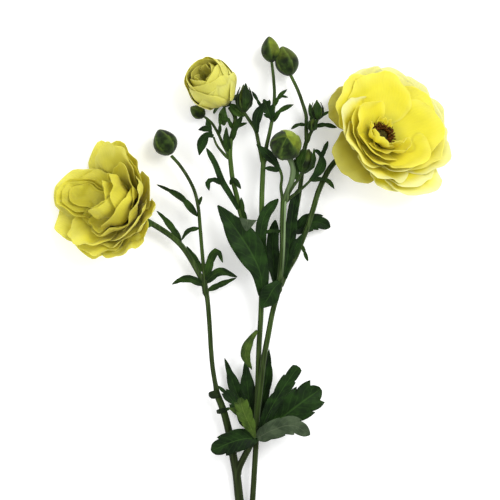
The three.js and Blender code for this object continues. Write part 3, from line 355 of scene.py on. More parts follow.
stalk_mesh = grown("branched_stem", polyline_mesh("stalk_routes", stalk_lines), *stalk_tree(), {
    "Sides": STALK_SIDES, "Ribs": RIBS, "Rib depth": RIB_DEPTH * MM, "Material": stem_green,
})
place_piece("branched_stem", stalk_mesh, "stem_green", "stem_branched")

# ---- bracts at the forks ------------------------------------------------------------------------
# Narrow green leaflets that the stem carries where it forks and along the flower stalks. They grow
# from it as one piece: thin, folded along the middle and pointed.

BLADE_THICKNESS = 0.42  # mm at the midrib,
EDGE_THINNING = 0.45  # and this share less at the edges
BLADE_FOLD = 0.22  # how far the edges rise above the midrib, as a share of the half width
BLADE_STEP = 0.5  # mm between the points of a midrib
RIPPLE_LENGTH = 0.9  # of the waves along a blade's edge, in widths of the blade
SIDE_VEINS = 9.0  # on each side of a midrib,
VEIN_SLANT = 1.6  # each reaching so many of them further along at the edge
LEAF_UNDERSIDE = (70, 86, 56)
GREEN_SCATTER = (0.4, 0.8, 0.2)
BLADE_COLUMNS = np.array([1, 0.8, 0.55, 0.28, 0.07, 0, -0.07, -0.28, -0.55, -0.8, -1])

# A blade's outline: rows of (place on the midrib, place of the edge points, half width as a share,
# how far the edge bulges outward on its way to the next row).
BLADE_FORMS = {
    "quill": [(0, 0, 0.4, 0.1), (0.45, 0.45, 1, 0.1), (1, 1, 0.12, 0)],
    "slim": [(0, 0, 0.25, 0.1), (0.34, 0.38, 1, 0.06), (0.68, 0.74, 0.66, 0.04), (1, 1, 0.1, 0)],
    "strap": [(0, 0, 0.6, 0), (0.25, 0.25, 0.9, 0), (0.5, 0.5, 1, 0), (0.8, 0.8, 0.85, 0.06),
              (1, 1, 0.12, 0)],
    "lance": [(0, 0, 0.3, 0), (0.24, 0.27, 0.68, 0.05), (0.5, 0.53, 1, 0.06),
              (0.78, 0.82, 0.52, 0.03), (1, 1, 0.05, 0)],
    "cut": [(0, 0, 0.14, -0.05), (0.15, 0.18, 0.3, 0.16), (0.28, 0.42, 0.86, -0.06),
            (0.37, 0.41, 0.5, 0.16), (0.5, 0.66, 1, -0.06), (0.6, 0.64, 0.52, 0.16),
            (0.72, 0.88, 0.74, -0.06), (0.84, 0.86, 0.34, 0.1), (1, 1, 0.05, 0)],
    "fan": [(0, 0, 0.14, 0.02), (0.2, 0.24, 0.46, 0.08), (0.4, 0.5, 0.88, -0.04),
            (0.47, 0.49, 0.74, 0.1), (0.64, 0.76, 1, -0.04), (0.71, 0.73, 0.82, 0.1),
            (0.84, 0.94, 0.84, -0.04), (0.9, 0.9, 0.56, 0.1), (1, 1, 0.12, 0)],
    "shell": [(0, 0, 0.34, 0.1), (0.2, 0.22, 0.84, 0.05), (0.42, 0.5, 1, -0.03), (0.48, 0.5, 0.86, 0.08),
              (0.64, 0.74, 0.9, -0.03), (0.7, 0.72, 0.7, 0.08), (0.84, 0.92, 0.5, 0.05),
              (1, 1, 0.05, 0)],
    "flap": [(0, 0, 1, 0), (0.5, 0.5, 0.6, 0.02), (1, 1, 0.05, 0)],
    "toothed": [(0, 0, 0.3, 0.02), (0.25, 0.26, 0.7, 0.05), (0.48, 0.54, 0.96, -0.03),
                (0.56, 0.57, 0.82, 0.05), (0.74, 0.82, 1, -0.03), (0.82, 0.82, 0.78, 0.05),
                (0.94, 0.98, 0.72, -0.03), (1, 1, 0.3, 0)],
}

# Each bract: its form, its width and the route of its midrib, in mm.
BRACTS = {
    "left arm bract": ("quill", 1.6, [(-15.5, -56.5, 7.6), (-13, -56, 10), (-10.5, -55, 12)]),
    "left fork, leaf 1": ("slim", 3.9,
        [(-25.5, 12.5, 10.4), (-33, 16, 12), (-38, 15.5, 11.5), (-43, 13, 10)]),
    "left fork, leaf 2": ("slim", 4.1,
        [(-24, 17, 10.6), (-21, 28, 13), (-18, 31.5, 14), (-15, 25, 12.5)]),
    "left fork, leaf 3": ("slim", 4.4, [(-25.5, 13.5, 10.2), (-16.5, 20, 12.5), (-7, 17, 11)]),
    "left fork, leaf 4": ("slim", 3, [(-23.5, 9.5, 10), (-16, 13, 9.6), (-7.5, 16.5, 9)]),
    "left flower stalk, leaf": ("slim", 3.3, [(-26.5, 20, 10), (-30.5, 27, 8.6), (-35, 34, 8.6)]),
    "left flower stalk, bract": ("slim", 3.3,
        [(-38, 36, 9), (-43, 44, 9), (-47.5, 49.5, 9.4), (-51.5, 53.5, 9.6)]),
    "left bud stalk, bract 1": ("slim", 2.8,
        [(-29, 50.5, 10.4), (-37.5, 60.5, 12), (-45, 65, 12), (-51.5, 68, 11.5)]),
    "left bud stalk, bract 2": ("quill", 1.9, [(-29, 56, 10.4), (-26.5, 61.5, 11.5)]),
    "left bud stalk, bract 3": ("slim", 2.4, [(-28, 44, 10.4), (-34, 42.5, 12), (-38, 37, 12)]),
    "half open stalk, bract 1": ("quill", 2.2, [(-11, 68, 11.2), (-9, 71, 13), (-5, 65.5, 12)]),
    "half open stalk, bract 2": ("quill", 1.6, [(-2, 47.5, 9.2), (-4, 54.5, 10.8), (-5, 61, 11.5)]),
    "half open stalk, bract 3": ("slim", 3.6,
        [(-11.5, 86, 13), (-13, 92.5, 14.2), (-13, 99.5, 14)]),
    "half open stalk, bract 4": ("quill", 2.4,
        [(-10.5, 91.5, 12), (-7.5, 100, 13.4), (-4, 106, 13.8)]),
    "half open stalk, bract 5": ("quill", 1.9,
        [(-9.5, 98.5, 10), (-12.5, 104, 11), (-16.5, 104, 11)]),
    "half open stalk, bract 6": ("quill", 1.4,
        [(-9.5, 95.5, 11), (-6.5, 100, 12), (-1.5, 102, 12)]),
    "half open stalk, bract 7": ("quill", 1.2,
        [(-17, 95, 11), (-16.5, 100.5, 11), (-16.5, 107.5, 9)]),
    "tall bud stalk, bract 1": ("quill", 1.4,
        [(13.5, 111, 11), (16, 116.5, 12), (20.5, 120.5, 12)]),
    "tall bud stalk, bract 2": ("quill", 1.2,
        [(15.5, 115, 11.8), (17.5, 116.5, 12.4), (21, 116, 12.4)]),
    "tall bud stalk, bract 3": ("quill", 1.9,
        [(13, 102.5, 11.4), (15.5, 107.5, 12.6), (19, 110, 13), (24, 112, 12.8)]),
    "broad bud stalk, bract": ("quill", 1.6, [(31, 101, 9.4), (26.5, 101, 11), (22.5, 98.5, 11)]),
    "back twig, bract 1": ("quill", 2, [(36, 100, 10), (41, 101, 10.6), (48, 99.5, 10)]),
    "back twig, bract 2": ("quill", 1.4, [(37.5, 104, 10.6), (40.5, 106.5, 11), (44, 108.5, 10.8)]),
    "back twig, bract 3": ("quill", 1.8, [(35, 99.5, 10), (33.5, 107.5, 11), (33, 113, 10.6)]),
    "front twig, bract 1": ("quill", 1.6,
        [(33, 70, 15), (39.5, 71, 13.8), (43.5, 69.5, 13.4), (46.5, 65.5, 13)]),
    "front twig, bract 2": ("quill", 2.8, [(26, 70, 17.4), (25, 77.5, 16), (24.5, 82, 15.4)]),
    "middle bract": ("quill", 1.6, [(17.5, 42, 16.6), (12.5, 42.5, 15.8), (7.5, 41, 15)]),
    "right stalk bract": ("quill", 1.6, [(28.5, 35, 10.8), (32, 25.5, 11.2)]),
}


def sheet_mesh(name, sheets, material):
    """One mesh of thin closed sheets.

    Each sheet has points, normals and thickness (mm), and along, across and tone for its material.
    """
    points, faces, along, across, under, tones = [], [], [], [], [], []
    first = 0
    for sheet in sheets:
        rows, columns = sheet["points"].shape[:2]
        half = sheet["normals"] * (sheet["thickness"] / 2)[..., None]
        for side in (1, -1):
            points.append(((sheet["points"] + side * half) * MM).reshape(-1, 3))
            along.append(sheet["along"].ravel())
            across.append(sheet["across"].ravel())
            under.append(np.full(rows * columns, 0.0 if side > 0 else 1.0))
            tones.append(np.full(rows * columns, sheet["tone"]))
        at = first + np.arange(rows * columns).reshape(rows, columns)
        a, b, c, d = at[:-1, :-1], at[1:, :-1], at[1:, 1:], at[:-1, 1:]
        top = np.stack([a, b, c, d], -1).reshape(-1, 4)
        below = rows * columns
        rim = np.concatenate([at[0, :-1], at[:-1, -1], at[-1, :0:-1], at[:0:-1, 0]])
        after = np.roll(rim, -1)
        faces += [top, top[:, ::-1] + below, np.stack([rim, after, after + below, rim + below], -1)]
        first += 2 * below
    mesh = bpy.data.meshes.new(name)
    mesh.from_pydata(np.concatenate(points).tolist(), [], np.concatenate(faces).tolist())
    for title, values in (("along", along), ("across", across), ("under", under), ("tone", tones)):
        layer = mesh.attributes.new(title, "FLOAT", "POINT")
        layer.data.foreach_set("value", np.concatenate(values).astype(np.float32))
    mesh.polygons.foreach_set("use_smooth", np.ones(len(mesh.polygons), bool))
    mesh.materials.append(material)
    mesh.update()
    return mesh


def grid_normals(points):
    normals = np.cross(np.gradient(points, axis=0), np.gradient(points, axis=1))
    return normals / np.maximum(np.linalg.norm(normals, axis=2, keepdims=True), 1e-9)


def outline_rows(form, width, length, steps):
    """The form's rows with steps more between each two, their edges bulged as the form says."""
    rows = []
    table = BLADE_FORMS[form]
    for (m0, e0, s0, bulge), (m1, e1, s1, _) in zip(table, table[1:]):
        run, rise = (e1 - e0) * length, (s1 - s0) * width / 2
        for k in range(steps):
            t = k / steps
            out = 4 * t * (1 - t) * bulge
            edge = e0 + (e1 - e0) * t - out * rise / length
            share = s0 + (s1 - s0) * t + out * run / (width / 2)
            rows.append((m0 + (m1 - m0) * t, edge, max(share, 0.02)))
    return np.array(rows + [table[-1][:3]])


def blade(form, width, midrib, wave=0.05, steps=5, facing=(0, 0, 1)):
    """A leaf blade along its midrib (mm), folded upwards along it, its edges softly waved."""
    line = smooth_route(midrib, BLADE_STEP)
    length = (len(line) - 1) * BLADE_STEP
    rows = outline_rows(form, width, length, steps)
    shares = np.linspace(0, 1, len(line))
    tangents = np.gradient(line, axis=0)
    tangents /= np.linalg.norm(tangents, axis=1, keepdims=True)

    def at(values, places):
        return np.stack([np.interp(places, shares, values[:, k]) for k in range(3)], 1)

    v = BLADE_COLUMNS[None, :, None]
    lean = np.abs(v)
    middle, edge = (at(line, rows[:, k])[:, None, :] for k in (0, 1))
    along_middle, along_edge = (at(tangents, rows[:, k])[:, None, :] for k in (0, 1))
    along = along_middle * (1 - lean) + along_edge * lean
    side = np.cross(along, facing)
    side /= np.linalg.norm(side, axis=2, keepdims=True)
    up = np.cross(side, along)
    half = (rows[:, 2] * width / 2)[:, None, None]
    phase = midrib[0][0] + midrib[-1][1]  # from its place, so that no two blades wave alike
    waves = rows[:, 1] * length / (RIPPLE_LENGTH * width) + 0.4 * phase
    ripple = wave * width * np.sin(2 * math.pi * waves)
    rise = half * BLADE_FOLD * (1.25 * lean**1.3 - 0.25 * lean**4)
    rise = rise + ripple[:, None, None] * lean**2 * v * rows[:, 2][:, None, None]
    points = middle * (1 - lean) + edge * lean + side * v * half + up * rise
    ones = np.ones(points.shape[:2])
    return {
        "points": points, "normals": grid_normals(points),
        "thickness": BLADE_THICKNESS * (1 - EDGE_THINNING * np.abs(BLADE_COLUMNS))[None, :] * ones,
        "along": rows[:, 0][:, None] * ones, "across": BLADE_COLUMNS[None, :] * ones,
        "tone": 0.5 + 0.5 * math.sin(1.7 * phase),
    }


def let_light_in(shader, depth, radius=GREEN_SCATTER):
    """Lets light scatter in thin plant tissue; depth is in m, radius the share of red, green, blue."""
    shader.inputs["Subsurface Radius"].default_value = radius
    shader.inputs["Subsurface Scale"].default_value = depth


def leaf_material(name, shade, light, vein, roughness=0.5):
    """Leaf skin: a paler midrib and side veins, soft mottling and a greyer, paler underside."""
    material, tree, shader = living_material(name, roughness, sheen=0.03, subsurface=0.05)
    let_light_in(shader, 0.0006)
    along, out = read_attribute(tree, "along"), maths(tree, "ABSOLUTE", read_attribute(tree, "across"))
    midrib = ramp(tree, out, 0.02, 0.1, 1.0, 0.0)
    slant = maths(tree, "MULTIPLY", out, VEIN_SLANT)
    slanted = maths(tree, "SUBTRACT", maths(tree, "MULTIPLY", along, SIDE_VEINS), slant)
    slanted = maths(tree, "ADD", slanted, maths(tree, "MULTIPLY", cloudy(tree, 400), 0.5))
    near = maths(tree, "ABSOLUTE", maths(tree, "SUBTRACT", maths(tree, "FRACT", slanted), 0.5))
    fading = ramp(tree, out, 0.5, 1.0, 1.0, 0.2)
    side_vein = maths(tree, "MULTIPLY", ramp(tree, near, 0.03, 0.13, 0.4, 0.0), fading)
    veins = maths(tree, "MAXIMUM", midrib, side_vein)
    mottle = cloudy(tree, 160, detail=4)
    tone = maths(tree, "MULTIPLY", read_attribute(tree, "tone"), 0.3)
    tone = maths(tree, "MULTIPLY", maths(tree, "ADD", ramp(tree, mottle, 0.35, 0.7), tone), 0.75)
    colour = blend_colours(tree, tone, screen_colour(*shade), screen_colour(*light))
    colour = blend_colours(tree, maths(tree, "MULTIPLY", veins, 0.32), colour, screen_colour(*vein))
    under = maths(tree, "MULTIPLY", read_attribute(tree, "under"), 0.5)
    colour = blend_colours(tree, under, colour, screen_colour(*LEAF_UNDERSIDE))
    height = maths(tree, "SUBTRACT", maths(tree, "MULTIPLY", mottle, 0.5), veins)
    colour_and_bump(tree, shader, colour, height, 0.5, 0.0004)
    return material


bract_green = leaf_material("bract green", (13, 30, 6), (42, 68, 18), (76, 104, 38))
bract_blades = [blade(form, width, midrib) for form, width, midrib in BRACTS.values()]
place_piece("bracts", sheet_mesh("bracts", bract_blades, bract_green), "stem_green")

# ---- old leaf bases -----------------------------------------------------------------------------
# What is left of two torn leaves low on the left stem: a short dark scale each, which clasps the
# stem where the leaf grew from it.

# Each base: its form, its width and the route of its middle, in mm.
LEAF_BASES = {
    "upper base": ("strap", 4.6, [(-16.8, -47.6, 9.2), (-18.4, -47.8, 10.6), (-20.6, -48, 10.2),
                                  (-22.6, -48.8, 8.6)]),
    "lower base": ("strap", 2.8, [(-18.3, -57.6, 7.4), (-16.8, -57.2, 9.4), (-14.8, -56.6, 10),
                                  (-12.6, -56, 9.6)]),
}

base_green = leaf_material("old base green", (14, 25, 9), (30, 43, 17), (46, 60, 28))
base_blades = [blade(form, width, middle) for form, width, middle in LEAF_BASES.values()]
place_piece("old_leaf_bases", sheet_mesh("old_leaf_bases", base_blades, base_green), "stem_green")

# ---- leaves -------------------------------------------------------------------------------------
# The cut leaves of the spray: a ring of them at the low fork, more at the upper forks. Each is a thin
# soft blade, or a few joined at the foot, folded along the midrib, with deep lobes or a plain edge.

# Each leaf's blades: form, width and the route of the midrib, in mm.
LEAVES = {
    "leaf_basal_left": [
        ("shell", 12.6,
            [(4, -71.5, 13.4), (-4, -72, 15.5), (-11, -74, 16), (-17.5, -77, 14), (-21.5, -78.5, 12)]),
        ("cut", 5, [(2, -71.5, 13.6), (-4, -61, 13.6), (-10.5, -50, 12.6), (-17.5, -43, 12)]),
    ],
    "leaf_basal_light": [
        ("fan", 8.2, [(3, -71.5, 14.8), (0, -64.5, 20), (-3.5, -56.5, 22), (-5.5, -49, 21)]),
        ("lance", 3.9, [(-1.5, -60.5, 21.2), (-6.5, -56.5, 21.4), (-11.5, -55, 20)]),
    ],
    "leaf_basal_upright": [
        ("lance", 6.6, [(1.5, -70.5, 5.6), (-4, -56, 4.4), (-9, -42.5, 4.6), (-14, -28, 6)]),
        ("lance", 8.2, [(2.5, -70.5, 5.6), (0, -56, 4.2), (-1.5, -42.5, 4.2), (-2.5, -28.5, 5)]),
        ("lance", 6.1, [(4, -70, 5.6), (7, -50.5, 4.2), (10, -35, 4.6), (10.5, -23, 6)]),
    ],
    "leaf_basal_right": [
        ("toothed", 8, [(4.5, -70.5, 13.2), (10, -58, 16), (17.5, -45, 18), (26.5, -32, 17)]),
        ("fan", 17.5, [(4.5, -71.5, 13.2), (16, -61.5, 15.5), (27.5, -52.5, 16), (39, -44.5, 13)]),
    ],
    "leaf_basal_underside": [
        ("shell", 10.4, [(4, -71.5, 14.8), (13, -66.5, 20.5), (23, -64, 22), (33, -69.5, 18)]),
    ],
    "leaf_light_curl": [
        ("lance", 5.5, [(4, -12.5, 11.6), (0, -18, 13.5), (-2.5, -25.5, 14.5), (1, -34, 13.5)]),
    ],
    "leaf_large_left": [
        ("lance", 16,
            [(7, 7, 12.4), (5.5, 20, 14.5), (-0.5, 32.5, 15.5), (-9, 45, 15), (-17.8, 56.5, 13.5)]),
    ],
    "leaf_node_hanging": [
        ("lance", 11, [(16.5, 14.5, 15), (12.5, 10, 17), (10, 5.5, 17), (6, 0, 15)]),
    ],
    "leaf_arched_lobe": [
        ("strap", 6.6, [(7, 29.5, 13), (6, 41, 15.2), (8.5, 51.5, 15), (15.5, 60, 14)]),
    ],
    "leaf_middle_back": [
        ("strap", 7.2, [(15, 13, 9.6), (13, 25.5, 8.6), (12.5, 36, 8.6), (14, 48.5, 10)]),
    ],
    "leaf_broad_back": [
        ("strap", 6.6,
            [(18.5, 16.5, 13), (21, 28.5, 12.6), (22.5, 43, 12.4), (24, 56, 12.4), (26.5, 65.5, 12)]),
    ],
    "leaf_right_upper": [
        ("shell", 9.4, [(24, 42, 7.6), (29.5, 45.5, 6), (37, 47.5, 5.6), (44.5, 44.5, 5)]),
        ("lance", 4.4, [(26, 43, 6.8), (29.5, 48.5, 7), (34.5, 52.5, 7)]),
    ],
    "leaf_right_lower": [
        ("lance", 5, [(22, 24, 11.4), (25, 33, 13), (29, 41, 13)]),
    ],
    "leaf_right_top": [
        ("lance", 5.5, [(33, 70, 15), (37.5, 75, 14.5), (39.5, 79, 13.5), (39, 86, 12.5)]),
        ("quill", 2.2, [(39, 82.5, 13), (41, 87, 12.5), (43, 92, 12.5)]),
        ("quill", 2.2, [(39, 83.5, 13), (37.5, 86, 12.6), (35, 87, 12.5)]),
    ],
    "leaf_center_top": [
        ("lance", 5.5, [(16.5, 75.5, 16.4), (13, 81, 16), (9, 85, 15.2), (3.5, 90, 14.6)]),
        ("quill", 2.8, [(16, 75.5, 16.4), (12, 76.5, 16), (8, 77, 15.6)]),
    ],
    "leaf_strap_left": [
        ("strap", 3.6,
            [(-6.5, 54.5, 11.6), (-11, 62.5, 13.5), (-15.5, 70, 14), (-19, 79, 14), (-24, 88, 14)]),
        ("quill", 2.2,
            [(-15.5, 68, 14.2), (-19.5, 70.5, 15.5), (-23, 69.5, 15.5), (-22.5, 64.5, 14.5)]),
    ],
    "leaf_small_left": [
        ("lance", 5.6, [(-20, 94.5, 16.2), (-23.5, 95, 16.8), (-26, 91.5, 16), (-28, 84, 14.5)]),
        ("lance", 3.3, [(-21, 96.5, 16.2), (-24, 98.5, 16.4), (-28.5, 98, 15.6)]),
        ("lance", 3.3, [(-21, 95, 16.2), (-22.5, 99, 16.2), (-24, 104, 15)]),
    ],
    "leaf_top_lobed": [
        ("cut", 7.7, [(12, 102.5, 13), (10, 109, 14), (7.5, 115, 13)]),
        ("quill", 1.2, [(6.5, 110, 14.2), (4, 114.5, 14), (1, 119.5, 13.5)]),
    ],
    "leaf_top_broad": [
        ("lance", 5.5, [(4, 96.5, 15.2), (3.5, 103, 15.8), (5, 108, 15.6), (8, 113, 15.6)]),
    ],
}

# The leaves that aren't dark green, and the route of the large left leaf's edge, folded over so that
# its pale underside shows.
LEAF_TINTS = {
    "leaf_basal_light": "light", "leaf_light_curl": "light", "leaf_basal_underside": "underside",
}
FOLDED_EDGE = [(-1.1, 48.7, 16.8), (-1.6, 45.4, 18), (-2, 42.3, 17.2)]
FOLDED_EDGE_WIDTH = 10

leaf_green = leaf_material("leaf green", (9, 24, 6), (31, 57, 16), (64, 98, 40))
light_green = leaf_material("light leaf green", (36, 54, 14), (74, 98, 32), (108, 128, 58))
underside_green = leaf_material("leaf underside", (34, 48, 30), (72, 86, 62), (100, 112, 84), 0.6)
leaf_looks = {
    "dark": ("leaf_green", leaf_green),
    "light": ("light_leaf_green", light_green),
    "underside": ("underside_green", underside_green),
}
for node_name, blades in LEAVES.items():
    slot, material = leaf_looks[LEAF_TINTS.get(node_name, "dark")]
    sheets = [blade(form, width, midrib, wave=0.07) for form, width, midrib in blades]
    place_piece(node_name, sheet_mesh(node_name, sheets, material), slot, node_name)

flap = blade("flap", FOLDED_EDGE_WIDTH, FOLDED_EDGE, wave=0.03)
flap_mesh = sheet_mesh("folded_edge", [flap], underside_green)
place_piece("leaf_large_left_folded_edge", flap_mesh, "underside_green")

# ---- buds ---------------------------------------------------------------------------------------
# Closed buds on the thin stalks: five downy green sepals that overlap and meet at the tip. The sepals
# that face the light are painted yellow-green, as painted light. The small ones have leaflets clasped
# round them.

BUD_RINGS = 30
BUD_SIDES = 60
SEPALS = 5
SEPAL_TWIST = 0.35  # how far the seams turn round the bud from foot to tip, in sepals
SEPAL_STEP = 0.075  # how far each sepal stands over the next, as a share of the radius

# Each bud: where its stalk enters, its tip, and its width, in mm.
BUDS = {
    "bud_left": ((-43.8, 84.3, 10), (-50.5, 98.5, 9.5), 13.5),
    "bud_tall": ((12, 135.3, 10), (10.5, 150, 9), 10.2),
    "bud_broad": ((22.5, 128, 8.6), (17.5, 144.5, 8.6), 13),
    "bud_round": ((19.3, 86, 12.2), (20.2, 93.5, 28.3), 17.4),
    "bud_shaded": ((-25, 105.7, 5.5), (-33, 111, 6), 7.6),
    "bud_leafy_right": ((37.3, 103.5, 10.4), (36.8, 114, 10.4), 6.2),
    "bud_small_dark": ((34.2, 97.6, 9.6), (34.6, 104, 14.5), 4.6),
    "bud_leafy_front": ((28.5, 74, 16.5), (32.5, 87.5, 15), 8.6),
    "bud_leafy_center": ((-3.4, 107.6, 14), (-3, 122.5, 12.5), 7.4),
}

# How strongly a bud's sepals are painted yellow-green as painted light, and the side (a direction in
# the spray) that the light falls on, where they are painted so.
LIT_BUD_SIDES = {
    "bud_round": (0.85, (0.5, 0.84, 0.1)), "bud_tall": (0.5, (0.9, 0.4, 0.2)),
    "bud_broad": (0.2, (0.1, 0.9, 0.4)), "bud_left": (0.0, (0, 0, 1)),
}
PLAIN_LIT_SIDE = (0.1, (0, 0.8, 0.6))
SEAM_WIDTH = 0.14  # of the paler edge of a sepal, in sepals
BUD_SHADE = (16, 27, 7)
BUD_LIGHT = (46, 66, 20)
SEAM_GREEN = (100, 124, 50)
# the yellow-green of the painted light on a bud's lit side
PAINTED_LIGHT_YELLOW = (150, 168, 50)

# How many leaflets clasp a bud, and how far up it each is pinned.
CLASPING_LEAFLETS = {
    "bud_leafy_right": 4, "bud_small_dark": 3, "bud_leafy_front": 4, "bud_leafy_center": 4,
}
LEAFLET_PLACES = np.array([0.03, 0.3, 0.62])
LEAFLET_TIP = 0.95  # and every second one a little higher:
TIP_STEP = 0.12
LEAFLET_WIDTH = 0.62  # of the bud's


def bud_material():
    """Bud skin: mottled green, paler where a sepal ends, and painted light in yellow-green, in patches,
    where the attribute tone says so.
    """
    material, tree, shader = living_material("bud green", 0.5, sheen=0.08, subsurface=0.06)
    let_light_in(shader, 0.0008)
    mottle = cloudy(tree, 260, detail=4)
    mottled = ramp(tree, mottle, 0.35, 0.7)
    colour = blend_colours(tree, mottled, screen_colour(*BUD_SHADE), screen_colour(*BUD_LIGHT))
    seam = maths(tree, "MULTIPLY", read_attribute(tree, "across"), 0.5)
    colour = blend_colours(tree, seam, colour, screen_colour(*SEAM_GREEN))
    # Painted light: the sepals on the lit side are painted yellow-green, in patches.
    patchy_light = ramp(tree, mottle, 0.3, 0.6, 0.55, 1.0)
    lit_share = maths(tree, "MULTIPLY", read_attribute(tree, "tone"), patchy_light)
    colour = blend_colours(tree, lit_share, colour, screen_colour(*PAINTED_LIGHT_YELLOW))
    colour_and_bump(tree, shader, colour, cloudy(tree, 1800, stretch=(1, 1, 0.3)), 0.3, 0.0003)
    return material


def bud_frame(base, tip):
    """The turn that carries the upright to the bud's axis, the bud's foot and its length (mm)."""
    axis = Vector(tip) - Vector(base)
    turn = Vector((0, 0, 1)).rotation_difference(axis).to_matrix()
    return np.array(turn), np.array(base, float), axis.length


def bud_profile(share, width):
    """The bud's radius (mm), from its foot (share 0) to its tip (1), widest a little below its middle."""
    return width / 2 * np.sin(math.pi * share**0.85) ** 0.7


def revolved_mesh(name, points, attributes, material):
    """A closed mesh round rings of points (rings, sides, xyz in mm), each end drawn to its middle."""
    rings, sides = points.shape[:2]
    ends = [points[0].mean(axis=0), points[-1].mean(axis=0)]
    vertices = np.concatenate([points.reshape(-1, 3), ends]) * MM
    at = np.arange(rings * sides).reshape(rings, sides)
    after = np.roll(at, -1, axis=1)
    quads = np.stack([at[:-1], after[:-1], after[1:], at[1:]], -1).reshape(-1, 4).tolist()
    low, high = rings * sides, rings * sides + 1
    quads += [[after[0, k], at[0, k], low] for k in range(sides)]
    quads += [[at[-1, k], after[-1, k], high] for k in range(sides)]
    mesh = bpy.data.meshes.new(name)
    mesh.from_pydata(vertices.tolist(), [], [[int(i) for i in face] for face in quads])
    for title, values in attributes.items():
        values = np.concatenate([values.ravel(), [values[0].mean(), values[-1].mean()]])
        mesh.attributes.new(title, "FLOAT", "POINT").data.foreach_set("value", values.astype(np.float32))
    mesh.polygons.foreach_set("use_smooth", np.ones(len(mesh.polygons), bool))
    mesh.materials.append(material)
    return mesh


def bud_mesh(name, base, tip, width):
    """A bud of overlapping sepals; a whole sepal is painted yellow-green, as painted light, where it faces
    the lit side.
    """
    turn, foot, length = bud_frame(base, tip)
    share = np.linspace(0.02, 0.985, BUD_RINGS)[:, None]
    angle = np.linspace(0, 2 * math.pi, BUD_SIDES, endpoint=False)[None, :]
    start = SEPAL_TWIST * share + foot[0]
    counted = angle / (2 * math.pi) * SEPALS + start
    sepal = counted % 1.0
    step = SEPAL_STEP * (sepal - 0.5) * np.sin(math.pi * share) ** 0.5
    radius = bud_profile(share, width) * (1 + step)
    local = np.stack([radius * np.cos(angle), radius * np.sin(angle), share * length + 0 * angle], -1)
    # How strongly, and on which side, the sepals are painted with painted light.
    strength, side = LIT_BUD_SIDES.get(name, PLAIN_LIT_SIDE)
    middle = (np.floor(counted) + 0.5 - start) / SEPALS * 2 * math.pi
    outward = np.stack([width / 2 * np.cos(middle), width / 2 * np.sin(middle),
                        (share - 0.5) * length + 0 * middle], -1)
    outward /= np.linalg.norm(outward, axis=-1, keepdims=True)
    facing = outward @ turn.T @ np.array(side)
    attributes = {
        "across": np.exp(-(((1 - sepal) / SEAM_WIDTH) ** 2)) * np.minimum(1, share * 3),
        "tone": strength * np.clip((facing - 0.4) / 0.3, 0, 1),
    }
    return revolved_mesh(name, local @ turn.T + foot, attributes, bud_green)


def clasping_leaflets(base, tip, width, count):
    """Leaflets that grow from the bud's foot and lie close against it."""
    turn, foot, length = bud_frame(base, tip)
    leaflets = []
    for k in range(count):
        angle = 2 * math.pi * (k + 0.3) / count + foot[0]
        outward = np.array([math.cos(angle), math.sin(angle), 0.0])
        shares = np.append(LEAFLET_PLACES, LEAFLET_TIP + TIP_STEP * (k % 2))
        radii = np.append(bud_profile(LEAFLET_PLACES, width) * 1.06 + 0.1, width * 0.34)
        route = [turn @ (outward * r + [0, 0, s * length]) + foot for r, s in zip(radii, shares)]
        leaflets.append(blade("lance", width * LEAFLET_WIDTH, route, steps=3, facing=turn @ outward))
    return leaflets


bud_green = bud_material()
for node_name, (base, tip, width) in BUDS.items():
    place_piece(node_name, bud_mesh(node_name, base, tip, width), "bud_green", node_name)
    if node_name in CLASPING_LEAFLETS:
        leaflets = clasping_leaflets(base, tip, width, CLASPING_LEAFLETS[node_name])
        title = node_name + "_leaflets"
        place_piece(title, sheet_mesh(title, leaflets, bract_green), "bud_green")

# ---- right bloom --------------------------------------------------------------------------------
# The full, open bloom: a flat receptacle with five sepals bent back, thin silky petals in rings that
# get shorter inwards, paler at their rims, and a small olive eye in a ring of red-brown stamens.

PETAL_THICKNESS = 0.34  # mm
PETAL_ROWS = 1 - (1 - np.linspace(0, 1, 24)) ** 1.3
PETAL_COLUMNS = np.sin(np.linspace(-0.98, 0.98, 23) * math.pi / 2) / math.sin(0.98 * math.pi / 2)
PETAL_RISE = 0.9  # mm, one step up the core
CLEARANCE = 0.3  # mm
PETAL_ROOT_WIDTH = 0.16  # as a share of the petal's full width
PETAL_WIDENING = 1.3  # how soon a petal reaches that width: at 1 over this of its length
PETAL_WRAP = 1.15  # how much wider a petal is bent than a circle round the axis
PETAL_SKEW = 1.0  # mm that one edge lies further out than the middle, and the other further in
PETAL_RUFFLE = 0.55  # mm
PETAL_ROUNDING = 0.46  # how far a petal's corners fall back, as a share of its length
CURL_START = 0.72  # where a rim begins to turn over, as a share of the length
GOLDEN_ANGLE = 137.5  # degrees between one petal of the spiral and the next
SHOULDER_STEPS = 1.6  # how many steps up the core the shoulder's petals start,
SPIRAL_STEPS = 2  # the first of the spiral,
SPIRAL_RISE = 3.2  # and how many more the last
CORE_TOP = 2 * CLEARANCE + PETAL_RISE * (SPIRAL_STEPS + SPIRAL_RISE)
# The core that they start from: its radius as a share of the bloom's foot, and the height, in mm.
CORE_PROFILE = [
    (0.4, 0.3), (1.0, 0.35), (1.08, 1.6), (1.06, 2.6), (0.96, 3.9), (0.86, CORE_TOP - 0.3), (0.5, CORE_TOP),
]
ROOT_TAPER = 0.18  # the innermost petals start this much nearer the axis, as a share of the foot
SIDE_CHANGE = 2.0  # how suddenly the spiral changes from its near to its far side
WARP_LENGTH = 17.0  # mm, the size of the soft swell that runs through all of a bloom's petals
WARP_START = 14.0  # mm from the bloom's axis, where that swell has its full size
TABLE_GIVE = 1.0  # mm over which a petal that meets the table turns along it,
TABLE_GAP = 0.3  # mm over it
YELLOW_SCATTER = (1.0, 0.85, 0.25)
PETAL_SHINE = 0.25
